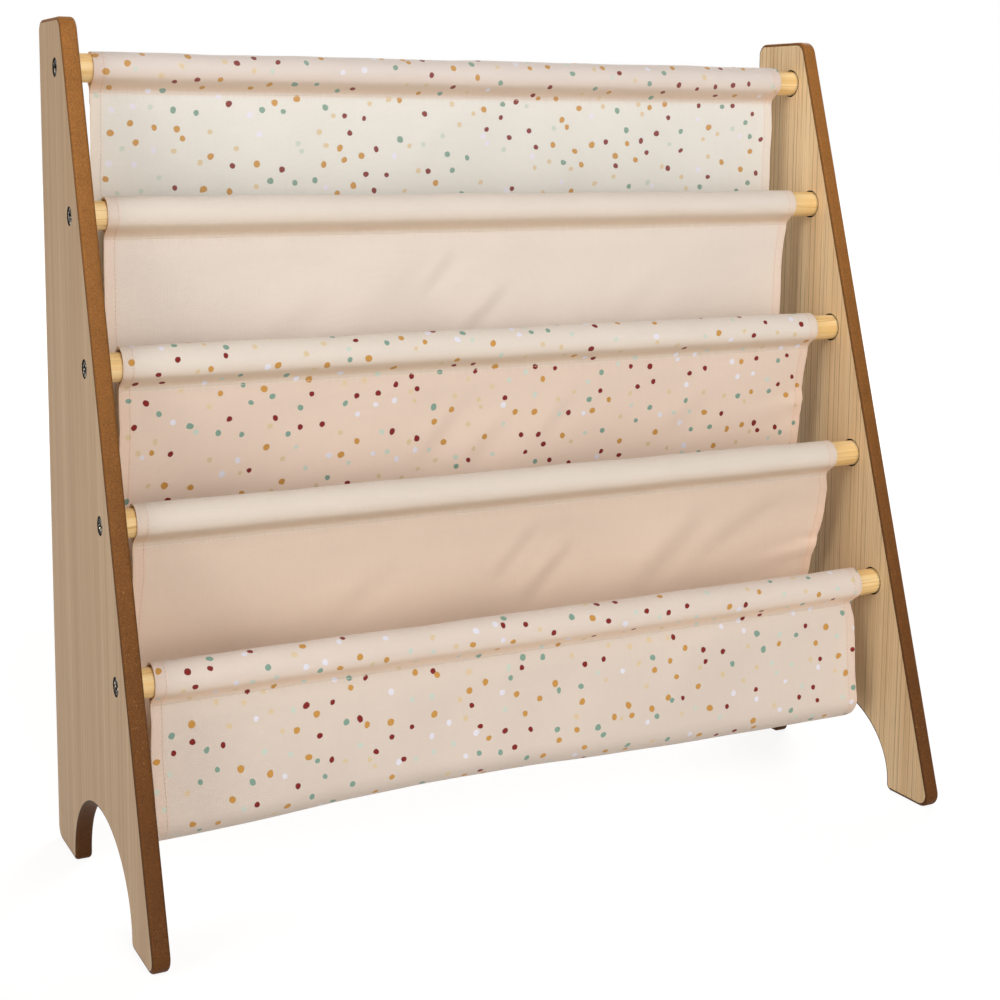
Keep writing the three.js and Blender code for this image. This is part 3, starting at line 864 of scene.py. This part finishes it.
class Finish:
    """A material with one Principled shader. Its constants are set on the shader's own sockets."""

    def __init__(self, name, **constants):
        self.material = bpy.data.materials.new(name)
        self.material.use_nodes = True
        self.nodes, self.links = self.material.node_tree.nodes, self.material.node_tree.links
        self.shader = self.nodes["Principled BSDF"]
        self.drive(**constants)

    def node(self, kind, sockets=None, output=0, **settings):
        """A new node: its settings first, then its sockets. Returns one of its outputs."""
        made = self.nodes.new("ShaderNode" + kind)
        for setting, value in settings.items():
            if setting == "stops":
                self.set_stops(made.color_ramp, value)
            else:
                setattr(made, setting, value)
        for key, value in (sockets or {}).items():
            self.feed(made.inputs[key], value)
        return Wire(self, made.outputs[output])

    @staticmethod
    def set_stops(ramp, stops):
        ramp.interpolation = "CONSTANT"
        while len(ramp.elements) < len(stops):
            ramp.elements.new(1.0)
        for element, (place, colour) in zip(ramp.elements, stops):
            element.position, element.color = place, (*colour, 1.0)

    def feed(self, socket, value):
        if isinstance(value, Wire):
            self.links.new(value.socket, socket)
        elif socket.type == "RGBA" and len(value) == 3:
            socket.default_value = (*value, 1.0)
        else:
            socket.default_value = value

    def drive(self, **inputs):
        """Sets the shader's own sockets to constants, or links what varies to them."""
        for name, value in inputs.items():
            socket = name.replace("_", " ").title().replace("Ior", "IOR")
            self.feed(self.shader.inputs[socket], value)

    def math(self, operation, value):
        return self.node("Math", {0: value}, operation=operation)

    def place(self):
        """Where a point of the surface is, in metres."""
        return self.node("TexCoord", output=3)

    def parts(self, value):
        """The three numbers of a vector or a colour."""
        kind = "SeparateColor" if value.socket.type == "RGBA" else "SeparateXYZ"
        split = self.node(kind, {0: value}).socket.node
        return [Wire(self, number) for number in split.outputs]

    def between(self, ends, share):
        """A number that goes from one end to the other as the share goes from 0 to 1."""
        return ends[0] + (ends[1] - ends[0]) * share

    def mix(self, factor, first, second):
        return self.node("Mix", {0: factor, 6: first, 7: second}, 2, data_type="RGBA")

    def tint(self, colour, level):
        """A colour made lighter or darker by a number that varies."""
        return self.node("VectorMath", {0: colour, "Scale": level}, operation="SCALE")

    def rise(self, value, low, high):
        """0 below low, 1 above high and smooth between."""
        sockets = {0: value, 1: low, 2: high, 3: 0.0, 4: 1.0}
        return self.node("MapRange", sockets, interpolation_type="SMOOTHSTEP")

    def near(self, value, place, width):
        """1 where a value is at a place, falling to 0 at a width to either side."""
        return 1 - self.rise(self.math("ABSOLUTE", value - place), 0.0, width)

    def grain(self, place, rates, detail=2.0, roughness=0.5):
        """Noise of 0 to 1. Rates are how many grains lie in a metre along each axis."""
        return self.node("TexNoise", {"Vector": place * rates, "Scale": 1.0, "Detail": detail,
                                      "Roughness": roughness})

    def bump(self, height):
        """A relief whose height is in metres."""
        sockets = {"Strength": 1.0, "Distance": 1.0, "Height": height}
        self.drive(normal=self.node("Bump", sockets))


def from_screen(*channels):
    """Linear colour of a screen colour of 0 to 255."""
    levels = (channel / 255 for channel in channels)
    return tuple(((v + 0.055) / 1.055) ** 2.4 if v > 0.04 else v / 12.92 for v in levels)


print("finish helpers ready")

# %% [markdown]
# ## The boards' finishes
# Both flat faces carry a thin light wood, but not the same leaf of it. The outer face has soft
# broad streaks, the inner face thin dark growth lines every few millimetres. The outer face is
# also greyer and darker and the inner face yellower and lighter: partly the wood, partly painted
# light for the dimmer light on the outer face and the warm light that the cloth throws on the
# inner one. An image of wood could be laid on. Noise that is stretched along the height does the
# streaks here, and the borders between the cells of a one-way cell texture do the lines: they
# stand at uneven distances, as growth lines do. The inner face also gets lighter towards its
# top, as painted light: the real one catches more light there than these few lamps give it.

# %% Wood-grain faces
GRAIN_WAVER, GROOVE_DEPTH, FUZZ_HEIGHT = 3.5 * MM, 0.04 * MM, 0.02 * MM
WAVER_RATES, PATCH_RATES, FINE_RATES = (90, 5, 2.4), (100, 26, 3.0), (110, 1300, 14)
PORE_RATES, FADE_RATES = (110, 1500, 55), (90, 150, 7)


def upright_lines(finish, place, pitch, width, shift):
    """Thin lines that run up the board at uneven distances and fade here and there."""
    sockets = {"W": finish.parts(place)[1] / pitch + shift, "Scale": 1.0}
    away = finish.node("TexVoronoi", sockets, voronoi_dimensions="1D",
                       feature="DISTANCE_TO_EDGE") * pitch
    strength = finish.rise(finish.grain(place + (shift, 0.0, 0.0), FADE_RATES, 1.0), 0.32, 0.6)
    return (1 - finish.rise(away, 0.0, width)) * strength


def board_face_finish(name, light, dark, streaks, lines, line_colour, levels=(1.0, 1.0)):
    """Streaks: distance and strength. Levels: lightness at the floor and at the top."""
    light, dark, line_colour = (from_screen(*colour) for colour in (light, dark, line_colour))
    finish = Finish(name, roughness=0.5, specular_ior_level=0.3)
    place = finish.place()
    waver = (finish.grain(place, WAVER_RATES, 1.0) - 0.5) * (2 * GRAIN_WAVER)
    place = place + finish.node("CombineXYZ", {0: 0.0, 1: waver, 2: 0.0})
    streak_pitch, streak_strength = streaks
    broad = finish.grain(place, (110, 1 / streak_pitch, 1.5), 2.0)
    fine = finish.grain(place, FINE_RATES, 2.0, 0.6)
    patches = finish.grain(place, PATCH_RATES, 1.0)
    level = 0.5 + streak_strength * (0.65 * broad + 0.35 * patches - 0.5)
    colour = finish.mix(finish.rise(level, 0.0, 1.0), dark, light)
    colour = finish.tint(colour, 0.91 + 0.18 * fine)
    line_sets = [strength * upright_lines(finish, place, pitch, width, shift)
                 for shift, (pitch, width, strength) in enumerate(lines)]
    for line in line_sets:
        colour = finish.mix(line, colour, line_colour)
    pores = finish.rise(finish.grain(place, PORE_RATES, 1.0), 0.64, 0.76)
    colour = finish.mix(0.3 * pores, colour, line_colour)
    up = finish.rise(finish.parts(place)[2], 0.1, BOARD_HEIGHT)
    finish.drive(base_color=finish.tint(colour, finish.between(levels, up)),
                 roughness=0.46 + 0.14 * fine)
    finish.bump(-GROOVE_DEPTH * pores - GROOVE_DEPTH * line_sets[0] + FUZZ_HEIGHT * fine)
    return finish.material


OUTER_LINES = (9.0 * MM, 0.55 * MM, 0.32), (3.2 * MM, 0.5 * MM, 0.15)  # pitch, width, strength
INNER_LINES = (6.0 * MM, 0.65 * MM, 0.7), (2.4 * MM, 0.5 * MM, 0.36)
# The two faces' colours are partly the wood and partly painted light; the inner face's levels are
# painted light that rises towards its top.
face_materials = [
    board_face_finish("outer_face", (188, 158, 122), (165, 132, 95), (5.0 * MM, 2.0),
                      OUTER_LINES, (120, 92, 66)),
    board_face_finish("inner_face", (230, 202, 160), (212, 178, 134), (12 * MM, 1.8),
                      INNER_LINES, (118, 86, 54), (0.88, 1.2))]
print("finishes:", [material.name for material in face_materials])

# %% Bare fibreboard edge and the drilled holes
# The edge's top and foot colours hold painted light: lighter high up, darker towards the floor.
EDGE_LIT_TOP, EDGE_SHADED_FOOT = from_screen(150, 98, 46), from_screen(94, 55, 20)
EDGE_FIBRE = from_screen(184, 132, 78)
# Nearly black for the hole walls: painted shade deep in the holes.
HOLE_SHADE_DARK = (0.012, 0.009, 0.007)
CORNER_SHADE_WIDTH, ARCH_SHADE_BLEND, EDGE_ROUGHNESS_DEPTH = 1.3 * MM, 2 * MM, 0.12 * MM
SPECKLE_RATES, CLOUD_RATES, HOLE_SHADE_RATES = (1050,) * 3, (60,) * 3, (900,) * 3
FIBRE_RATES, FIBRE_PATCH_RATES = (1500, 1000, 1000), (40, 40, 14)


def board_edge_finish():
    """Brown with short pale fibres. Painted light and shade make it lighter high up and darker low
    down, along its corners and in the sawn arch.
    """
    finish = Finish("bare_fibreboard", roughness=0.62, specular_ior_level=0.15)
    place = finish.place()
    sideways, depth, height = finish.parts(place)
    # Painted light: lighter at the top and darker towards the floor, as the light falls.
    colour = finish.mix(finish.rise(height, 0.02, BOARD_HEIGHT), EDGE_SHADED_FOOT, EDGE_LIT_TOP)
    speckle = finish.grain(place, SPECKLE_RATES, 2.0, 0.7)
    cloudy = finish.grain(place, CLOUD_RATES, 2.0)
    colour = finish.tint(colour, 1.7 * speckle + 0.3 * cloudy)
    fibres = finish.rise(finish.grain(place, FIBRE_RATES, 1.0), 0.62, 0.78)
    fibres = fibres * finish.rise(finish.grain(place, FIBRE_PATCH_RATES, 1.0), 0.4, 0.65)
    colour = finish.mix(0.6 * fibres, colour, EDGE_FIBRE)
    sideways = finish.math("ABSOLUTE", sideways)
    # Painted shade along both corners of the rounded edge.
    corners = sum(finish.near(sideways, level, CORNER_SHADE_WIDTH)
                  for level in (INNER_HALF_WIDTH, SHELF_HALF_WIDTH))
    # Painted shade under the arch.
    before, behind = forward(FOOT_DEPTH - FRONT_FOOT_LENGTH), forward(BACK_FOOT_LENGTH)
    arch_shade = (finish.rise(depth, before - ARCH_SHADE_BLEND, before)
               * (1 - finish.rise(depth, behind, behind + ARCH_SHADE_BLEND)))
    arch_shade = arch_shade * (1 - finish.rise(height, ARCH_HEIGHT + 1 * MM, ARCH_HEIGHT + 6 * MM))
    colour = finish.tint(colour, (1 - 0.45 * corners) * (1 - 0.35 * arch_shade))
    finish.drive(base_color=colour, roughness=0.52 + 0.2 * speckle)
    finish.bump(EDGE_ROUGHNESS_DEPTH * speckle)
    return finish.material


def hole_finish():
    """The drilled walls, nearly black: painted shade deep in the holes."""
    finish = Finish("drilled_hole", roughness=0.6, specular_ior_level=0.2)
    shade_mottle = finish.grain(finish.place(), HOLE_SHADE_RATES, 2.0)
    finish.drive(base_color=finish.tint(HOLE_SHADE_DARK, 0.6 + 0.8 * shade_mottle))
    return finish.material


board_materials = [*face_materials, board_edge_finish(), hole_finish()]
for board in boards.values():
    for material in board_materials:
        board.data.materials.append(material)
print("board finishes:", len(board_materials))

# %% [markdown]
# ## Rods, bolts and inserts
# The rods are bare pine, pale and slightly uneven, with the grain along their length. The bolts
# are blackened steel, and the hidden inserts are yellow metal. A bare metal mirrors a bright
# room, which would turn the bolts grey. Their black coat isn't metallic and hardly shines, so
# they stay dark. A few small spots of bare pale metal in it flash up: partly wear, partly painted
# glints. The rods' and inserts' solids have the right shape already, so only the materials in
# their slots are new.

# %% Pine, steel and brass
PINE_LIGHT, PINE_DARK = from_screen(244, 214, 160), from_screen(230, 190, 124)
PINE_LINE = from_screen(190, 138, 72)
BLACK_COAT, RUBBED_GLINT_STEEL = (0.007, 0.006, 0.005), (0.62, 0.51, 0.36)
YELLOW_METAL = (0.62, 0.47, 0.22)
METAL_RATES, RUBBED_GLINT_RATES = (600,) * 3, (480,) * 3
RING_RATES, ROD_FINE_RATES, BAND_RATES = (4, 260, 260), (40, 1100, 1100), (22, 60, 60)
GROWTH_RATES, ROD_FUZZ_HEIGHT = (5, 170, 170), 0.03 * MM


def pine_finish():
    finish = Finish("bare_pine", roughness=0.5, specular_ior_level=0.35)
    place = finish.place()
    rings = finish.grain(place, RING_RATES, 2.0)
    fine = finish.grain(place, ROD_FINE_RATES, 2.0, 0.6)
    bands = finish.grain(place, BAND_RATES, 1.0)
    colour = finish.mix(finish.rise(0.6 * rings + 0.4 * bands, 0.36, 0.64), PINE_DARK, PINE_LIGHT)
    growth = finish.near(finish.grain(place, GROWTH_RATES, 0.0), 0.5, 0.03)
    colour = finish.mix(0.55 * growth, colour, PINE_LINE)
    finish.drive(base_color=finish.tint(colour, 0.94 + 0.12 * fine), roughness=0.44 + 0.16 * fine)
    finish.bump(ROD_FUZZ_HEIGHT * fine)
    return finish.material


def blackened_steel_finish():
    """A black coat with a few small spots of bright bare metal: partly wear, partly painted
    glints.
    """
    finish = Finish("black_steel", specular_ior_level=0.02)
    place = finish.place()
    fine = finish.grain(place, METAL_RATES, 2.0)
    # Spots of bare metal: partly wear, partly painted glints.
    rubbed_glints = finish.rise(finish.grain(place, RUBBED_GLINT_RATES, 1.0), 0.6, 0.64)
    black = finish.tint(BLACK_COAT, 0.75 + 0.5 * fine)
    finish.drive(base_color=finish.mix(rubbed_glints, black, RUBBED_GLINT_STEEL), metallic=rubbed_glints,
                 roughness=0.2 + 0.2 * fine)
    return finish.material


def yellow_metal_finish():
    finish = Finish("yellow_metal", metallic=0.95)
    fine = finish.grain(finish.place(), METAL_RATES, 2.0)
    finish.drive(base_color=finish.tint(YELLOW_METAL, 0.75 + 0.5 * fine),
                 roughness=0.3 + 0.2 * fine)
    return finish.material


pine_material, steel_material = pine_finish(), blackened_steel_finish()
brass_material = yellow_metal_finish()
for piece in bpy.data.objects:
    if piece.name.startswith("socket_bolt"):
        piece.data.materials.append(steel_material)
for name, node in frame["nodes"].items():
    if name.startswith(("rod_", "insert_")):
        node.data.materials.clear()
        node.data.materials.append(pine_material if name.startswith("rod_") else brass_material)
print("finishes:", pine_material.name, steel_material.name, brass_material.name)

# %% [markdown]
# ## The cloth's finish
# Twill shows fine slanting ribs, threads of uneven thickness and a dry, soft surface. The ribs
# are a sine of the two lengths added up, so they keep their scale however the cloth bends. The
# confetti print could be an image, but a cell texture makes it afresh: each cell holds one blob,
# the cell's random number picks its colour and size, and noise bends its rim. The same finish,
# with a fainter print, serves for the cloth's reverse. Real twill lets some light through, so
# its pockets and the undersides of its sleeves aren't as dark as those of a solid sheet. That is
# stood in for by colour: some walls get lighter downwards, and the undersides get a warmer tone.
# Each panel's sleeve and wall also get their own lightness and warmth of the same cloth: painted
# light for the light that each part gets.

# %% Confetti print
DOT_CELLS_PER_METRE, DOT_SCATTER, DOT_GRID_TURN = 65.0, 0.84, 0.43
DOT_SOFTNESS, DOT_WOBBLE, DOT_DRIFT = 0.2 * MM, 1.6 * MM, 7 * MM
DRIFT_RATE, WOBBLE_RATE, MISSING_DOTS = 26.0, 210.0, 0.045
DOTS = [(share, from_screen(*colour), radius * MM) for share, colour, radius in (
    (0.19, (129, 39, 36), 2.1), (0.20, (202, 149, 75), 2.35), (0.15, (132, 162, 146), 2.2),
    (0.14, (206, 214, 200), 1.95), (0.17, (222, 200, 162), 1.95), (0.15, (232, 228, 237), 2.15))]
WIDEST_DOT = max(radius for _, _, radius in DOTS)


def confetti(finish):
    """Mask and colour of the print. Slow noise drifts the blobs, and quick noise bends them."""
    place = finish.node("UVMap", uv_map="print")
    place = finish.node("VectorRotate", {"Vector": place, "Angle": DOT_GRID_TURN},
                        rotation_type="Z_AXIS")
    drift, wobble = (
        finish.node("TexNoise", {"Vector": place, "Scale": rate, "Detail": 1.0}, 1)
        - (0.5, 0.5, 0.5) for rate in (DRIFT_RATE, WOBBLE_RATE))
    place = place + drift * DOT_DRIFT + wobble * DOT_WOBBLE
    sockets = {"Vector": place, "Scale": DOT_CELLS_PER_METRE, "Randomness": DOT_SCATTER}
    distance, cell = (finish.node("TexVoronoi", sockets, output, voronoi_dimensions="2D")
                      for output in (0, 1))
    pick, unevenness, chance = finish.parts(cell)
    starts = [sum(share for share, _, _ in DOTS[:index]) for index in range(len(DOTS))]
    colours = [colour for _, colour, _ in DOTS]
    sizes = [(radius / WIDEST_DOT,) * 3 for _, _, radius in DOTS]
    colour, size = (finish.node("ValToRGB", {0: pick}, stops=list(zip(starts, values)))
                    for values in (colours, sizes))
    size = finish.parts(size)[0] * WIDEST_DOT * (0.88 + 0.2 * unevenness)
    missing = finish.rise(chance, 1 - MISSING_DOTS, 1.001 - MISSING_DOTS)
    inside = size - distance / DOT_CELLS_PER_METRE
    return finish.rise(inside, -DOT_SOFTNESS, DOT_SOFTNESS) * (1 - missing), colour


print("print:", len(DOTS), "colours")

# %% Twill
RIB_PITCH = 1.7 * MM
HEM_SHIFT = (1.03, 0.975, 0.95)
UNDERSIDE_SHIFT, LAST_UNDERSIDE_SHIFT = (1.07, 0.95, 0.81), (1.2, 1.07, 0.92)
HEM_LINE, HEM_STITCH_LINE = CLOTH_HALF_WIDTH - SIDE_HEM, CLOTH_HALF_WIDTH - 7.2 * MM
HEM_BLEND, WALL_REACH, PUCKER_REACH = 0.4 * MM, 75 * MM, 9 * MM
WARP_RATES, WEFT_RATES, PATCHY_RATES = (1500, 40, 1), (40, 1500, 1), (14, 11, 1)
PUCKER_RATES, SIDE_PUCKER_RATES = (150, 60, 1), (60, 130, 1)
WEAVE_HEIGHT, PUCKER_HEIGHT, SIDE_PUCKER_HEIGHT = 0.05 * MM, 0.7 * MM, 0.6 * MM
SEWN_HEIGHT, THREAD_DENT, SEAM_DENT = 0.18 * MM, 0.3 * MM, 0.2 * MM


def cloth_finish(name, sleeve_colour, wall_colour, wall_levels, underside_shift, print_strength):
    """Wall levels are the lightness of a wall at its seam and down in its pocket."""
    finish = Finish(name, roughness=0.9, sheen_weight=0.12, sheen_roughness=0.5,
                    specular_ior_level=0.2)
    place = finish.node("UVMap", uv_map="cloth")
    across, along, _ = finish.parts(place)
    from_middle = finish.math("ABSOLUTE", across)
    ribs = finish.math("SINE", (across + along) * (2 * math.pi / RIB_PITCH))
    warp = finish.grain(place, WARP_RATES, 1.0)
    weft = finish.grain(place, WEFT_RATES, 1.0)
    patches = finish.grain(place, PATCHY_RATES, 2.0)
    level = 0.925 + 0.014 * ribs + 0.05 * warp + 0.05 * weft + 0.05 * patches
    hem = finish.rise(from_middle, HEM_LINE - HEM_BLEND, HEM_LINE + HEM_BLEND)
    on_wall = finish.rise(along, -3 * MM, 3 * MM)
    underside = (finish.rise(along, -24 * MM, -8 * MM)
                 * (1 - finish.rise(along, -6 * MM, 2 * MM)))
    down_wall = finish.between(wall_levels, finish.rise(along, 0.0, WALL_REACH))
    colour = finish.mix(on_wall, sleeve_colour, finish.tint(wall_colour, down_wall))
    for share, shift in ((underside, underside_shift), (hem, HEM_SHIFT)):
        colour = finish.mix(share, colour, colour * shift)
    if print_strength:
        mask, dots = confetti(finish)
        colour = finish.mix(mask * print_strength, colour, dots)
    dashes = finish.math("SINE", along * (2 * math.pi / STITCH_PITCH))
    thread = finish.near(from_middle, HEM_STITCH_LINE, 0.45 * MM)
    sewn = thread * finish.rise(dashes, -0.6, 0.1)
    holes = thread * (1 - finish.rise(dashes, -0.9, -0.3))
    seam = finish.near(along, 0.0, 0.9 * MM)
    # The hem's stitch line, its holes and the seam line are darkened: painted shade in these small
    # dents.
    level = level - 0.07 * thread - 0.16 * holes - 0.03 * seam
    finish.drive(base_color=finish.tint(colour, level))
    puckers = (finish.grain(place, PUCKER_RATES, 1.0)
               * finish.near(along, 0.0, PUCKER_REACH))
    side_puckers = (finish.grain(place, SIDE_PUCKER_RATES, 1.0)
                    * finish.near(from_middle, HEM_STITCH_LINE, PUCKER_REACH))
    relief = (WEAVE_HEIGHT * ribs + WEAVE_HEIGHT * (warp + weft) + PUCKER_HEIGHT * puckers
              + SIDE_PUCKER_HEIGHT * side_puckers)
    finish.bump(relief + SEWN_HEIGHT * sewn - THREAD_DENT * thread - SEAM_DENT * seam)
    return finish.material


# Sleeve and wall colours are one cloth tinted for the light on each part: painted light. The
# lightness down each wall is painted light too.
CLOTH_COLOURS = (  # of each panel: its sleeve, its wall, and the lightness down that wall
    ((224, 211, 202), (229, 225, 217), (1.0, 1.0)),
    ((226, 214, 202), (230, 217, 205), (0.97, 1.06)),
    ((226, 214, 202), (229, 208, 191), (0.95, 1.1)),
    ((224, 211, 198), (236, 213, 193), (0.86, 1.14)),
    ((225, 210, 198), (222, 207, 194), (1.0, 1.0)))
FRONT_PRINTS, REVERSE_PRINT = (0.92, 0, 1.0, 0, 1.0), 0.14
cloth_materials = []
for panel, (sleeve_colour, wall_colour, wall_levels) in enumerate(CLOTH_COLOURS):
    front_print = FRONT_PRINTS[panel]
    name = ("dotted" if front_print else "plain") + f"_twill_{panel + 1}"
    look = (from_screen(*sleeve_colour), from_screen(*wall_colour), wall_levels,
            LAST_UNDERSIDE_SHIFT if panel == LAST else UNDERSIDE_SHIFT)
    cloth_materials.append([
        cloth_finish(name, *look, front_print),
        cloth_finish(f"{name}_reverse", *look, REVERSE_PRINT if front_print else 0)])
THREAD_COLOUR = from_screen(238, 220, 204)
THREAD_TWIST, TWIST_HEIGHT = (9000, 6000, 6000), 0.03 * MM


def thread_finish():
    finish = Finish("cotton_thread", roughness=0.75, sheen_weight=0.1, specular_ior_level=0.3)
    turns = finish.node("VectorMath", {0: finish.place(), 1: THREAD_TWIST}, 1,
                        operation="DOT_PRODUCT")
    twist = finish.math("SINE", turns)
    finish.drive(base_color=finish.tint(THREAD_COLOUR, 0.95 + 0.05 * twist))
    finish.bump(TWIST_HEIGHT * twist)
    return finish.material


thread_material = thread_finish()
for sling, thread, materials in zip(slings, threads, cloth_materials):
    for material in materials:
        sling.data.materials.append(material)
    thread.data.materials.append(thread_material)
print("cloth finishes:", [materials[0].name for materials in cloth_materials])

# %% [markdown]
# ## Floor, lamps and background
# The object stands on a plain pale floor in soft studio light, before white. The background's
# white comes from what the camera sees, not from more light on the object. For the camera, and in
# what is mirrored, the world is white and about three quarters of the floor is a white glow. Every
# other ray meets their plain colours. The last quarter of the floor is its real shading, so the
# shadow under the shelf stays.

# %% Stage
FLOOR_REACH, FLOOR_LINES, FLOOR_COLOUR = 14.0, 9, (0.8, 0.79, 0.78)
FLOOR_GLOW_SHARE, FLOOR_GLOW = 0.76, (1.16, 1.5)  # the glow is weaker near the object
SOFT_WORLD, SOFT_WORLD_COLOUR, WHITE = 0.125, (1.0, 0.985, 0.965), (1.0, 1.0, 1.0)


def any_seen_ray(finish):
    """1 for rays that show the background: seen by the camera, mirrored or let through."""
    seen, mirrored, let_through = (finish.node("LightPath", output=f"Is {kind} Ray")
                                   for kind in ("Camera", "Glossy", "Transmission"))
    return finish.node("Math", {0: seen, 1: mirrored + let_through}, operation="MAXIMUM")


def floor_finish():
    finish = Finish("pale_floor", base_color=FLOOR_COLOUR, roughness=0.9, specular_ior_level=0.0)
    away = finish.node("VectorMath", {0: finish.place()}, 1, operation="LENGTH")
    glow_level = finish.between(FLOOR_GLOW, finish.rise(away, 0.5, 3.0))
    glow = finish.node("Emission", {"Color": WHITE, "Strength": glow_level})
    shares = any_seen_ray(finish) * FLOOR_GLOW_SHARE
    shader = Wire(finish, finish.shader.outputs[0])
    mixed = finish.node("MixShader", {0: shares, 1: shader, 2: glow})
    finish.feed(finish.nodes["Material Output"].inputs["Surface"], mixed)
    return finish.material


floor_shape = Shape()
floor_line = np.linspace(-FLOOR_REACH, FLOOR_REACH, FLOOR_LINES)
floor_rows = [floor_shape.row([(x, y, 0) for x in floor_line]) for y in floor_line]
floor_shape.skin(floor_rows, is_loop=False)
floor = floor_shape.make("floor")
floor.data.materials.append(floor_finish())

world = bpy.data.worlds.new("studio")
world.use_nodes = True
bpy.context.scene.world = world


class Backdrop(Finish):
    """The world's own nodes, made in the same way as a material's."""

    def __init__(self, tree):
        self.nodes, self.links = tree.nodes, tree.links


backdrop = Backdrop(world.node_tree)
plain_light = backdrop.node("Background", {"Color": SOFT_WORLD_COLOUR, "Strength": SOFT_WORLD})
white = backdrop.node("Background", {"Color": WHITE, "Strength": 1.0})
backdrop.feed(backdrop.nodes["World Output"].inputs["Surface"],
              backdrop.node("MixShader", {0: any_seen_ray(backdrop), 1: plain_light, 2: white}))
print("floor and background ready")

# %% Lamps
LAMP_FULL = math.pi ** 2
LAMP_COLOUR = (1.0, 0.99, 0.975)
AIM = Vector((0, 0, 0.32))
LAMPS = {  # place, width and height, level on a face that looks straight at it
    "front": ((0.0, -2.6, 2.2), (1.6, 1.4), 0.485),
    "left": ((-2.6, -0.8, 1.2), (1.6, 1.6), 0.44),
    "low": ((-0.3, -3.0, 0.5), (1.6, 1.0), 0.19),
    "back": ((1.9, 1.9, 1.9), (1.6, 1.4), 0.60)}

for name, (place, size, level) in LAMPS.items():
    light = bpy.data.lights.new(name, "AREA")
    light.shape, light.size, light.size_y, light.color = "RECTANGLE", *size, LAMP_COLOUR
    light.energy = LAMP_FULL * (AIM - Vector(place)).length_squared * level
    lamp = bpy.data.objects.new(name, light)
    lamp.location = place
    lamp.rotation_euler = (AIM - Vector(place)).to_track_quat("-Z", "Y").to_euler()
    bpy.context.scene.collection.objects.link(lamp)
    print("lamp", name, round(light.energy, 1), "W")

# %% [markdown]
# ## Colour view
# The view transform is Standard, so that a colour shows as it is written. The cloth may stand a
# few millimetres proud of its solid, but the shelf keeps its size.

# %% Finish
bpy.context.scene.view_settings.view_transform = "Standard"
